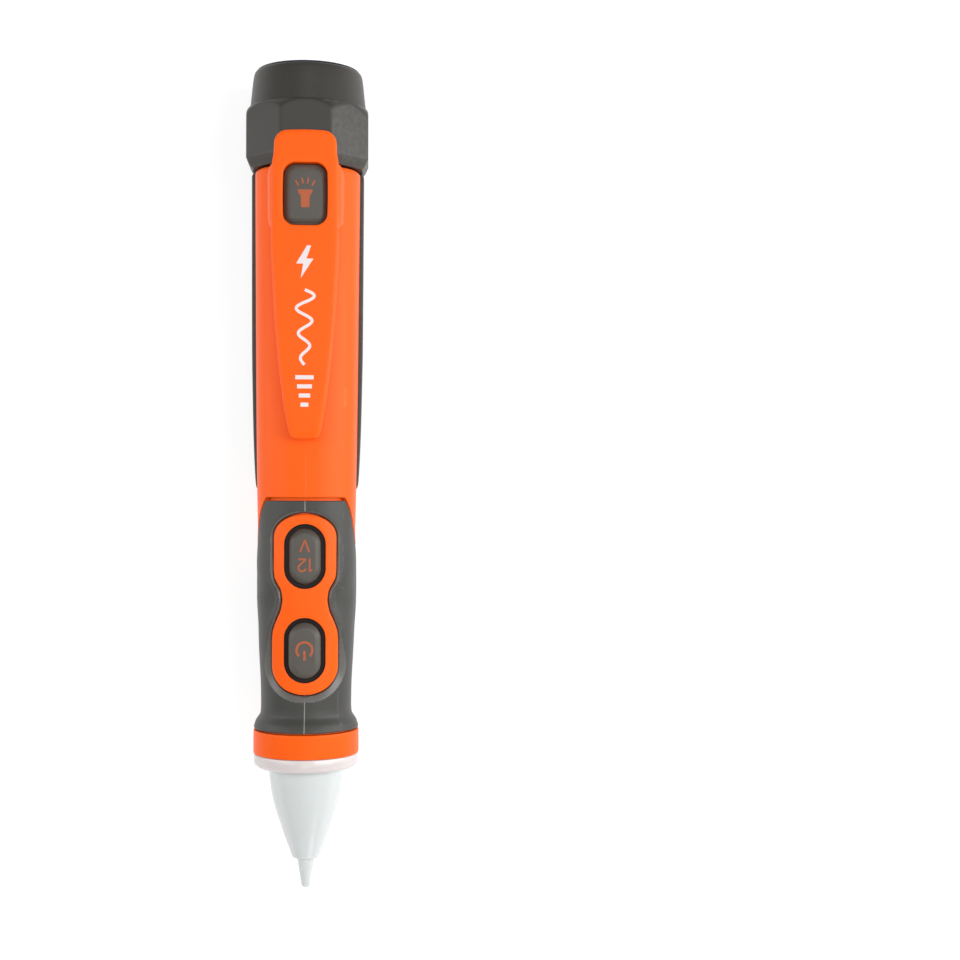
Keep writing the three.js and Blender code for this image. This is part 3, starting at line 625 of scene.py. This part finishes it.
def build_grip():
    skin = Skin()
    around = with_seam(np.concatenate([
        np.linspace(0.02, PI - 0.02, 290), np.linspace(PI, 2 * PI, 110)]))
    tail = edge_place(around)
    rows = []
    for back, inset in [(0.0, 1.0), (0.0, 0.22), (0.03, 0.07), (0.14, 0.0)]:
        rows.append(body(around, tail - back, inset))
    nose = GRIP_NOSE
    for t in np.linspace(0, 1, 230)[1:]:
        y = tail - 0.14 + (nose + 0.35 - tail + 0.14) * t
        plain = body(around, y)
        x, z = plain[..., 0], plain[..., 2]
        away, lift = grip_lift(x, y, z)
        lift = lift + seam(x) * (z > 0) * ease((away - 0.3) / 0.4)
        fade = ease((tail - y) / 1.6) * ease((y - nose) / 2.0)
        sunk = 1.25 * (1 - ease((away - 0.04) / 0.24))
        rows.append(body(around, y, -lift * fade + sunk))
    rows += [body(around, nose + 0.12, 0.05), body(around, nose + 0.02, 0.18),
             body(around, nose, 0.4), body(around, nose, 1.0)]
    skin.grid(rows, closed=True)
    grip = skin.make("grip_overmold_fine", rubber, crease=50, replaces=["grip_overmold"])
    finish_grip(grip)


def finish_grip(grip):
    """The bevel beside the island is smoother, and its paler colour is a painted highlight; the mould
    line is painted pale as the highlight on its ridge.
    """
    middles = np.array([face.center for face in grip.data.polygons]) / MM
    away = distance_to(island_loop(0, spacing=0.15), middles[:, 0], middles[:, 1])
    front = middles[:, 2] > AXIS_HEIGHT
    # painted highlight: these bevel faces take the paler rubber that stands in for the light on the bevel
    on_bevel = front & (away < bevel_width(middles[:, 1])) & (away > 0.2)
    # painted highlight: the faces on the mould line take the pale material
    on_line = front & (np.abs(middles[:, 0]) < 0.1) & ~on_bevel
    grip.data.materials.append(bevel_highlight_rubber)
    grip.data.materials.append(mould_line_painted_highlight)
    for face, bevelled, lined in zip(grip.data.polygons, on_bevel, on_line):
        face.material_index = 1 if bevelled else 2 if lined else 0


# ------------------------------------------------------------------ rear cover
def cover_outline(y, inset):
    """Half of the cover's channel section, from its top edge down to the middle of its back."""
    half, back = cover_half(y) - inset, -cover_back(y) + inset
    radius = 7.0 - inset
    angle = np.linspace(0, PI / 2, 16)
    top = COVER_TOP - np.array([0.0, 0.25, 0.6, 2.0, 4.0])
    x = [np.full(5, half), half - radius + radius * np.cos(angle),
         np.linspace(half - radius, 0, 14)[1:]]
    z = [top, back + radius - radius * np.sin(angle), np.full(13, back)]
    return np.column_stack([np.concatenate(x), np.concatenate(z)])


def thumb_patch(x, y):
    """Depth of the ribbed thumb hollow and the arrow on the cover's back."""
    middle, reach, half = 14.0, 7.0, 4.4
    inside_oval = 1 - np.sqrt(((y - middle) / reach) ** 2 + (x / half) ** 2)
    hollow = 0.5 * ease(inside_oval / 0.22)
    ribs = 0.34 * ease(inside_oval / 0.3) * np.clip(1.5 * np.cos(2 * PI * (y - middle) / 2.0), 0, 1)
    arrow = (y > 23.6) & (y < 27.6) & (np.abs(x) < (y - 23.6) * 0.55)
    return hollow - ribs + 0.3 * arrow


def build_cover():
    skin = Skin()
    nose, tail = COVER[0][1], COVER[1][1]
    places = np.unique(np.concatenate([
        nose + np.array([0, 0.05, 0.2, 0.5, 0.9]), np.linspace(nose + 1.2, 6, 14),
        np.arange(6, 29, 0.22), np.linspace(29, tail - 0.6, 24), [tail - 0.25, tail - 0.06, tail]]))

    def round_end(y):
        near_tail = 0.25 * (1 - ease((tail - y) / 0.5))
        near_nose = 0.8 * (1 - np.sqrt(np.clip((y - nose) / 1.3, 0, 1)))
        return near_tail + near_nose

    def section(y, inset):
        """X and Z round the whole channel."""
        half = cover_outline(y, inset)
        return np.vstack([half, (half * (-1, 1))[-2::-1]]).T

    outside, inner = [], []
    for y in places:
        x, z = section(y, 0.0)
        rim = np.abs(z - COVER_TOP) < 0.01
        inset = round_end(y)
        x -= np.sign(x) * inset * np.minimum(1, np.abs(x) / 3)
        z += inset * (z < -5)
        z += thumb_patch(x, y) * (z < -11)
        x[rim] -= np.sign(x[rim]) * 0.22
        outside.append(np.column_stack([x, np.full(len(x), y), z]))
        x, z = section(y, COVER_WALL)
        inner.append(np.column_stack([x, np.full(len(x), y), z]))
    outside, inner = np.array(outside), np.array(inner)
    skin.grid(outside)
    skin.grid(inner)
    for i in (0, -1):
        skin.grid([outside[i], inner[i]])
    skin.grid([outside[:, 0], inner[:, 0]])
    skin.grid([outside[:, -1], inner[:, -1]])
    skin.make("rear_cover_fine", gray, replaces=["rear_cover"], rides="battery_cover")


# ------------------------------------------------------------------ torch
def octagon_reach(angle):
    """Distance from the axis to the ring's outline: flats and rounded corners."""
    corner = 1.2
    inner = RING_FLAT - corner
    turn = np.abs((angle + PI / 8) % (PI / 4) - PI / 8)
    centre = inner / math.cos(PI / 8)
    swing = PI / 8 - turn
    half_chord = np.sqrt(np.clip(corner**2 - (centre * np.sin(swing)) ** 2, 0, None))
    rounded = centre * np.cos(swing) + half_chord
    flat = RING_FLAT / np.cos(turn)
    return np.where(RING_FLAT * np.tan(turn) < inner * math.tan(PI / 8), flat, rounded)


def build_tail_cap():
    """The octagonal ring with its bevel and its sloping shoulder, the tapering rim and the bore."""
    skin = Skin()
    start = CAP[0][1]
    ring_end = start + RING_LENGTH
    end = BEZEL[1][1] - 0.4
    around = np.linspace(0, 2 * PI, 360, endpoint=False)
    octagon = octagon_reach(around)
    bevel = smooth((start, 0.9), (start + 0.1, 0.918), (start + 2.0, 0.996), (start + 2.15, 1.0))
    cut = smooth((75, 16), (78.3, 14.75), (79.2, 14.12), (80.0, 13.6), (ring_end - 0.4, 13.2),
                 (ring_end - 0.1, 12.95), (ring_end + 0.08, 12.6))
    cone = smooth((ring_end + 0.1, 12.52), (83.5, 12.25), (end - 1.2, 11.78), (end - 0.5, 11.6),
                  (end - 0.15, 11.38), (end, 11.15))
    sharpness = 90  # of the corner where the shoulder cuts the ring

    def reach(y):
        if y > ring_end + 0.08:
            return np.full(around.shape, float(cone(y)))
        ring = octagon * float(bevel(y))
        return (ring ** -sharpness + float(cut(y)) ** -sharpness) ** (-1 / sharpness)

    places = np.unique(np.concatenate([
        [start, start + 0.05], np.arange(start + 0.1, start + 2.6, 0.1), np.linspace(70.5, 75, 14),
        np.arange(75.3, ring_end - 0.5, 0.2), np.arange(ring_end - 0.5, ring_end + 0.3, 0.05),
        np.linspace(ring_end + 0.4, end - 1.2, 24), np.linspace(end - 1.2, end, 14)]))
    hollow = [(10.5, end), (10.5, 76.5), (9.3, 76.5), (9.3, 69.2), (11.0, 69.2), (11.0, start),
              (11.8, start)]
    rows = [hoop(reach(y), y, around) for y in places]
    rows += [hoop(radius, y, around) for radius, y in hollow]
    rows.append(rows[0])
    skin.grid(rows, closed=True)
    skin.make("tail_cap_fine", gray, crease=30, replaces=["tail_cap"], rides="torch_head")


def build_torch_front():
    """The bezel, the lens, the reflector and the LED's dome."""
    skin = Skin()
    end = BEZEL[1][1]
    flange = end - 0.37
    skin.turned([(9.7, 86.6), (10.2, 86.6), (10.2, flange), (11.0, flange), (11.1, flange + 0.05),
                 (11.05, end - 0.12), (10.85, end), (9.95, end), (9.78, end - 0.1),
                 (9.7, end - 0.3), (9.7, 86.6)])
    skin.make("lens_bezel_fine", trim, replaces=["lens_bezel"], rides="torch_head")

    skin = Skin()
    skin.turned([(0.001, 85.2), (10.15, 85.2), (10.2, 85.3), (10.2, 86.2), (10.15, 86.3),
                 (0.001, 86.3)])
    skin.make("torch_lens_fine", clear, replaces=["torch_lens"], rides="torch_optics")

    skin = Skin()
    radius = np.linspace(2.4, 9.3, 40)
    depth = 76.9 + 8.0 * ((radius - 2.4) / 6.9) ** 2
    bowl = list(zip(radius, depth))
    back = [(r + 0.7, y - 0.1 - 0.2 * (1 - (r - 2.4) / 6.9)) for r, y in bowl][::-1]
    skin.turned([*bowl, (9.9, 84.9), *back, bowl[0]])
    skin.make("torch_reflector_fine", mirror, replaces=["torch_reflector"], rides="torch_optics")

    skin = Skin()
    dome = [(1.5 * math.cos(a), 77.1 + 1.5 * math.sin(a)) for a in np.linspace(0, PI / 2, 12)]
    dome[-1] = (0.001, dome[-1][1])
    skin.turned([(0.001, 76.2), (1.9, 76.2), (1.9, 76.9), (1.5, 76.9), *dome], segments=48)
    skin.make("torch_led_fine", led_white, replaces=["torch_led"])


def build_o_rings():
    for name, radius, thick, y in (("tail_o_ring", 9.9, 0.75, 68.25), ("nose_o_ring", 8.78, 0.5, -57)):
        skin = Skin()
        angle = np.linspace(0, 2 * PI, 17)
        skin.turned([(radius + thick * math.cos(a), y + thick * math.sin(a)) for a in angle])
        skin.make(f"{name}_fine", seal, replaces=[name])


# ------------------------------------------------------------------ nose
def build_nose():
    """The round flange, the cone, the step and the thin pin, hollow inside."""
    skin = Skin()
    start = CONE[1][1]
    flange = BAND_NOSE - 0.06
    flange_end = -61.9
    tip = CONE[0][1]
    cone = smooth((-62.0, 8.05), (-62.9, 7.97), (-66.5, 7.5), (-69.2, 6.98), (-71.4, 6.35),
                  (-73.6, 5.6), (-76.4, 4.68), (-78.9, 3.75), (-81.2, 2.95))
    corner = [(8.4 + 2.87 * math.cos(a), -60.3 - 1.5 * math.sin(a)) for a in np.linspace(0, 1.5, 16)]
    outer = [(8.1, start), (8.1, flange), (11.05, flange), (11.2, flange - 0.05),
             (11.27, flange - 0.2), *corner, (8.25, -61.83), (8.08, -61.95)]
    outer += [(float(cone(y)), y) for y in np.linspace(-62.1, -81.0, 36)]
    outer += [(2.9, -81.22), (2.65, -81.38), (2.1, -81.6), (1.85, -81.9), (1.76, -82.3),
              (1.5, -83.8), (1.15, -86.0), (1.02, -86.8)]
    outer += [(1.0 * math.cos(a), tip + 1.0 - 1.0 * math.sin(a)) for a in np.linspace(0.1, 1.5, 10)]
    outer += [(0.001, tip)]
    inner = [(0.001, -85), (0.75, -84.6), (1.0, -80), (3.3, -75.4), (4.9, -71.4), (6.1, -66.5),
             (6.8, start), (8.1, start)]
    skin.turned([*outer, *inner])
    cone_piece = skin.make("nose_cone_fine", milky, crease=28, replaces=["nose_cone"])
    # painted light: faces past the flange's end take the pinkish copy that stands in for orange light
    # from the band
    cone_piece.data.materials.append(milky_painted_orange_light)
    for face in cone_piece.data.polygons:
        face.material_index = int(face.center.y > flange_end * MM)


# ------------------------------------------------------------------ clip
clip_top_line = smooth((74, 15.63), (52, 15.65), (30, 15.37), (12, 14.9), (10.2, 14.7), (9.0, 14.1))
clip_under_line = smooth((74, 14.5), (67.2, 14.5), (54, 14.35), (30, 14.0), (16, 13.25), (12.4, 11.6),
                         (10.8, 11.55), (9.3, 12.6), (9.0, 13.0))


def clip_top(x, y):
    """The clip's top face, very slightly crowned."""
    return clip_top_line(y) - 0.0035 * x**2


def clip_loop():
    """The clip's outline: the tapering leaf, the frame and the round-cornered tab."""
    tail, tip = CLIP[1][1], LEAF[0][1]
    half = smooth((70.9, 6.5), (68.5, 6.62), (67.2, 6.86), (66, 6.95), (54, 7.0), (52, 7.08),
                  (40.6, 6.65), (26.2, 5.6), (16.5, 4.4), (11.4, 3.45), (10.3, 3.2))
    bow = 0.12  # how far both ends swell in the middle
    corner, end_corner = 2.8, 1.1
    straight = 6.5 - corner
    angle = np.linspace(0, PI / 2, 20)
    tab = np.column_stack([straight + corner * np.cos(angle),
                           tail - bow - corner + corner * np.sin(angle)])
    x = np.linspace(straight, 0.05, 16)[1:]
    crown = np.column_stack([x, tail - bow * (x / straight) ** 2])
    y = np.linspace(10.3, tail - corner, 260)
    end = np.column_stack([3.05 - end_corner + end_corner * np.sin(angle),
                           tip + bow + end_corner - end_corner * np.cos(angle)])
    side = np.column_stack([half(y), y])
    return mirrored(np.vstack([[(0.01, tip)], end, side, tab, crown]), 0.3)


def clip_plate(skin):
    """The plate of the leaf, frame and tab, with its window."""
    loop = clip_loop()
    window = bent_box(WINDOW_HALF, WINDOW_NOSE, WINDOW_TAIL, 2.4, bulge=0.17)
    top_edge = 0.7
    rows = skin.sweep(loop, [(-top_edge, 0), (-0.45, -0.08), (-0.2, -0.24), (-0.05, -0.5), (0, -0.8)],
                      clip_top)
    wall = rows[-1]
    low = wall.copy()
    low[:, 2] = clip_under_line(low[:, 1]) + 0.2
    flat = loop - loop_normals(loop) * 0.22
    under = np.column_stack([flat, clip_under_line(flat[:, 1])])
    skin.grid([wall, low, under], closed=True)
    skin.fill(loop - loop_normals(loop) * top_edge, clip_top,
              [window + loop_normals(window) * 0.35], spacing=0.7)
    skin.fill(flat, lambda x, y: clip_under_line(y), [window], spacing=1.0)
    skin.sweep(window, [(0.35, 0), (0.15, -0.06), (0.03, -0.2), (0, -0.45), (0, -3.4)], clip_top)


def clip_shoulders(skin):
    """Rounded shoulders that carry the frame down to the barrel on both sides of the window."""
    width = smooth((66.95, 6.5), (66.6, 7.4), (65.6, 7.95), (64, 8.1), (56, 8.0), (54.6, 7.85),
                   (53.6, 7.3), (53.0, 6.9))
    y = np.linspace(53.0, 66.95, 70)
    base = width(y)
    for side in (-1, 1):
        rows = []
        for share, drop in [(0.0, 0.35), (0.25, 0.6), (0.5, 1.1), (0.72, 1.9), (0.87, 2.9),
                            (0.96, 4.2), (1.0, 5.6), (1.0, 9.0)]:
            x = 6.35 + (base - 6.35) * share
            rows.append(np.column_stack([side * x, y, clip_top_line(y) - drop]))
        for x in (6.3, 4.7):
            rows.append(np.column_stack([np.full(len(y), side * x), y, clip_top_line(y) - 9.0]))
        rows.append(np.column_stack([np.full(len(y), side * 4.75), y, clip_top_line(y) - 1.0]))
        rows.append(rows[0])
        skin.grid(rows)
        for i in (0, -1):
            ring = np.array([row[i] for row in rows[:-1]])
            skin.add(ring, [list(range(len(ring)))])
    for tail, nose in ((67.0, 66.7), (53.8, 53.0)):
        block = bent_box(6.2, nose, tail, 0.2)
        skin.sweep(block, [(0, 14.6), (0, 8.6)], flat_at(0))


def build_clip():
    skin = Skin()
    clip_plate(skin)
    clip_shoulders(skin)
    clip = skin.make("pocket_clip_fine", orange, rides=None, replaces=["pocket_clip", "pocket_clip_leaf"])
    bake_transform(clip)


# ------------------------------------------------------------------ keys and their marks
def key_top(box, crown, proud=0.0):
    """A key's plateau: flat with a slight crown across."""
    def height(x, y):
        return box[1][2] + proud - crown * (x / 3.6) ** 2
    return height


def build_key(name, loop, top, body_name, node, bevel):
    """One key: bevel is (offset outwards, height over its plateau) from its foot up."""
    skin = Skin()
    skin.sweep(loop, bevel, top)
    offset = bevel[-1][0]
    skin.fill(loop + loop_normals(loop) * offset, top, spacing=0.5)
    skin.fill(loop, lambda x, y: top(x, y) + bevel[0][1], spacing=1.5)
    skin.make(name, key_rubber, crease=45, replaces=[node], rides=body_name)


def stroke(points, width):
    """A closed outline round a line of even width, with flat ends."""
    points = np.array(points, float)
    along = np.gradient(points, axis=0)
    along /= np.linalg.norm(along, axis=1)[:, None]
    side = np.column_stack([along[:, 1], -along[:, 0]]) * width / 2
    return np.vstack([points + side, (points - side)[::-1]])


def raised_mark(skin, loop, top, height=INK_HEIGHT):
    """A thin raised patch with the outline loop on a key or on the clip."""
    area = np.sum(loop[:, 0] * np.roll(loop[:, 1], -1) - loop[:, 1] * np.roll(loop[:, 0], -1))
    loop = loop if area > 0 else loop[::-1]

    def lifted(x, y):
        return top(x, y) + height

    skin.fill(loop, lifted, spacing=0.25)
    skin.grid([np.column_stack([loop, lifted(loop[:, 0], loop[:, 1])]),
               np.column_stack([loop, top(loop[:, 0], loop[:, 1]) - 0.1])], closed=True)


def digit_marks():
    """1, 2 and V as strokes in a frame where Y is up, centred on the origin."""
    one = [[(-0.5, 1.0), (0.05, 1.4), (0.05, -1.4)]]
    angle = np.linspace(PI * 0.92, -0.18 * PI, 14)
    bowl = [(0.8 * math.cos(a), 0.62 + 0.78 * math.sin(a)) for a in angle]
    two = [[*bowl, (-0.78, -1.1)], [(-0.86, -1.2), (0.86, -1.2)]]
    vee = [[(-0.95, 1.3), (0, -1.3)], [(0.95, 1.3), (0, -1.3)]]
    return one, two, vee


def dense_line(points):
    """The same line with its points about 0.15 mm apart."""
    points = np.array(points, float)
    run = np.concatenate([[0], np.cumsum(np.linalg.norm(np.diff(points, axis=0), axis=1))])
    place = np.linspace(0, run[-1], max(2, round(run[-1] / 0.15)))
    return np.column_stack([np.interp(place, run, points[:, i]) for i in (0, 1)])


def middle_of(box):
    return (box[0][1] + box[1][1]) / 2


def build_keys():
    """The three keys, and the dark rubber sleeve that lines each grip key's hole; its darkness also
    stands in as painted shade for the hole's wall.
    """
    bevel = [(0.0, -4.0), (0.0, -1.15), (-0.04, -0.98), (-0.16, -0.84), (-0.85, -0.14), (-1.0, -0.04),
             (-1.2, 0.0)]
    shade_sleeve_section = [(0.0, -0.2), (-0.08, -0.3), (-0.2, -0.45), (-0.9, -0.6), (-0.9, -3.0),
                      (0.0, -3.0), (0.0, -0.2)]
    for name, box in (("voltage", VOLTAGE_KEY), ("power", POWER_KEY)):
        loop = key_loop(box, -0.18)
        build_key(f"{name}_button_fine", loop, key_top(box, KEY_CROWN), f"{name}_key",
                  f"{name}_button", bevel)
        # Painted shade: a dark rubber sleeve lines the hole where its wall would lie in shade.
        skin = Skin()
        skin.sweep(key_loop(box, KEY_GAP), shade_sleeve_section, island_z)
        skin.make(f"{name}_button_shade_sleeve", seal)

    loop = bent_box(4.36, 53.9, 66.55, 2.25, bulge=0.15)
    skirt = [(0.0, -5.5), (0.0, -0.75), (-0.05, -0.62), (-0.14, -0.56), (-0.34, -0.54), (-0.4, -0.5),
             (-0.44, -0.36), (-0.52, -0.28), (-1.15, -0.05), (-1.3, -0.01), (-1.5, 0.0)]
    build_key("torch_button_fine", loop, key_top(TORCH_KEY, TORCH_CROWN, TORCH_KEY_PROUD), "torch_key",
              "torch_button", skirt)


def build_voltage_mark():
    """12 V, upside down from the tail, because the pen is read with its tip up."""
    one, two, vee = digit_marks()
    skin = Skin()
    top = key_top(VOLTAGE_KEY, KEY_CROWN)
    middle = middle_of(VOLTAGE_KEY)
    size = 0.98
    for strokes, x, y in ((one, 1.1, -1.75), (two, -0.55, -1.75), (vee, 0.0, 2.25)):
        for line in strokes:
            line = dense_line(np.array(line) * size)
            raised_mark(skin, stroke(line, 0.38) * (-1, -1) + (x, middle + y), top)
    skin.make("voltage_button_mark", mark_ink, rides="voltage_key")


def build_power_mark():
    skin = Skin()
    top = key_top(POWER_KEY, KEY_CROWN)
    middle = middle_of(POWER_KEY) + 0.2
    angle = np.linspace(-PI / 2 + 0.75, 1.5 * PI - 0.75, 60)
    ring = np.column_stack([1.66 * np.cos(angle), middle + 1.66 * np.sin(angle)])
    bar = [(0, middle - 0.1), (0, middle - 1.2), (0, middle - 2.2)]
    for line in (ring, bar):
        raised_mark(skin, stroke(line, 0.5), top)
    skin.make("power_button_mark", mark_ink, rides="power_key")


def build_torch_mark():
    """A torch with four rays."""
    skin = Skin()
    top = key_top(TORCH_KEY, TORCH_CROWN, TORCH_KEY_PROUD)
    torch = np.array([(-1.55, 61.2), (-1.5, 60.7), (-0.95, 59.9), (-0.88, 57.5), (0.88, 57.5),
                      (0.95, 59.9), (1.5, 60.7), (1.55, 61.2)])
    raised_mark(skin, even_loop(torch, 0.2), top)
    for side in (-1, 1):
        for ray in ([(0.43, 62.45), (0.69, 63.65)], [(1.42, 62.0), (2.0, 63.1)]):
            line = dense_line(np.array(ray) * (side, 1))
            raised_mark(skin, stroke(line, 0.32), top)
    skin.make("torch_button_mark", mark_ink, rides="torch_key")


def build_clip_print():
    """A generic white print on the leaf: a bolt, a fading wave and level bars."""
    skin = Skin()
    bolt = np.array([(0.5, 3.6), (-1.9, -0.4), (-0.35, -0.4), (-0.9, -3.6), (1.9, 0.7), (0.35, 0.7),
                     (1.4, 3.6)])
    raised_mark(skin, even_loop(bolt * 0.95 + (0, 46.0), 0.25), clip_top, PRINT_HEIGHT)
    y = np.linspace(40.2, 24.6, 140)
    swing = 2.1 * (0.35 + 0.65 * (y - 24.6) / 15.6)
    wave = np.column_stack([swing * np.sin((40.2 - y) * 2 * PI / 5.2), y])
    raised_mark(skin, stroke(wave, 0.62), clip_top, PRINT_HEIGHT)
    for i in range(4):
        half = 1.9 - 0.36 * i
        place = 22.0 - 1.9 * i
        bar = dense_line([(-half, place), (half, place)])
        raised_mark(skin, stroke(bar, 0.85), clip_top, PRINT_HEIGHT)
    piece = skin.make("pocket_clip_print", white_ink, rides=None)
    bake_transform(piece)


# ------------------------------------------------------------------ inside pieces
def paint_inside():
    """Materials of the CAD pieces that stay as they are."""
    looks = {
        "torch_led_board": board, "main_board": board, "torch_button_seal": seal,
        "voltage_button_seal": seal, "power_button_seal": seal, "torch_switch": black,
        "voltage_switch": black, "power_switch": black, "torch_switch_plunger": white_nylon,
        "voltage_switch_plunger": white_nylon, "power_switch_plunger": white_nylon,
        "controller_chip": black, "buzzer": black, "green_status_led": led_green,
        "red_alarm_led": led_red, "sensor_antenna": brass, "torch_wire_red": wire_red,
        "torch_wire_black": wire_black, "board_screw_1": steel, "board_screw_2": steel,
        "battery_tray": black, "battery_cell_1": sleeve, "battery_cell_2": sleeve,
        "battery_spring_1": steel, "battery_spring_2": steel, "battery_bridge": steel,
        "battery_contact_minus": steel, "battery_contact_plus": steel,
    }
    for name, look in looks.items():
        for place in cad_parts[name].material_slots:
            place.link = "OBJECT"
            place.material = look


# ------------------------------------------------------------------ stage
def build_floor():
    """A white floor that gives off a little light, so that shadows on it stay faint."""
    reach = 40.0
    mesh = bpy.data.meshes.new("floor")
    corners = [(-reach, -reach, 0), (reach, -reach, 0), (reach, reach, 0), (-reach, reach, 0)]
    mesh.from_pydata(corners, [], [(0, 1, 2, 3)])
    floor = bpy.data.objects.new("floor", mesh)
    paper = material("floor", (0.36, 0.36, 0.36), 0.9, mottle=0.004, Specular_IOR_Level=0.1,
                     Emission_Strength=0.74)
    paper.node_tree.nodes["Principled BSDF"].inputs["Emission Color"].default_value = (1, 1, 1, 1)
    mesh.materials.append(paper)
    bpy.context.scene.collection.objects.link(floor)
    floor.location.z = -0.00005


def lamp(name, place, aim, width, length, power):
    """A soft rectangular lamp."""
    data = bpy.data.lights.new(name, "AREA")
    data.shape = "RECTANGLE"
    data.size, data.size_y, data.energy = width, length, power
    thing = bpy.data.objects.new(name, data)
    thing.location = place
    direction = Vector(np.array(aim) - np.array(place))
    thing.rotation_euler = direction.to_track_quat("-Z", "Y").to_euler()
    bpy.context.scene.collection.objects.link(thing)


def build_light():
    pen = (0, 0, 0.01)
    lamp("softbox_left", (-0.42, 0.05, 0.24), pen, 0.16, 0.8, 1.5)
    lamp("softbox_right", (0.42, 0.05, 0.28), pen, 0.2, 0.8, 3.0)
    lamp("softbox_top", (0.0, 0.1, 0.8), (0, 0, 0), 0.3, 0.8, 1.3)
    lamp("softbox_nose", (0.05, -0.5, 0.2), pen, 0.5, 0.15, 0.7)
    world = bpy.data.worlds.new("studio")
    world.use_nodes = True
    background = world.node_tree.nodes["Background"]
    background.inputs["Color"].default_value = (1, 1, 1, 1)
    background.inputs["Strength"].default_value = 0.24
    bpy.context.scene.world = world
    bpy.context.scene.view_settings.view_transform = "Standard"


def build_camera():
    """Above the pen and a little to its right, turned so that the pen lies left of the middle."""
    data = bpy.data.cameras.new("camera")
    data.lens = 60.3
    data.sensor_width = 36
    aside, yaw, roll = 0.014, math.radians(-3.86), math.radians(0.2)
    depth = 0.350
    height = (depth + aside * math.sin(-yaw)) / math.cos(yaw)
    camera = bpy.data.objects.new("camera", data)
    camera.location = (aside, 0.00065, AXIS_HEIGHT * MM + height)
    camera.rotation_euler = (0, yaw, roll)
    bpy.context.scene.collection.objects.link(camera)
    bpy.context.scene.camera = camera


build_camera()
build_floor()
build_light()
build_housing()
build_grip()
build_cover()
build_tail_cap()
build_torch_front()
build_o_rings()
build_nose()
build_clip()
build_keys()
build_voltage_mark()
build_power_mark()
build_torch_mark()
build_clip_print()
paint_inside()
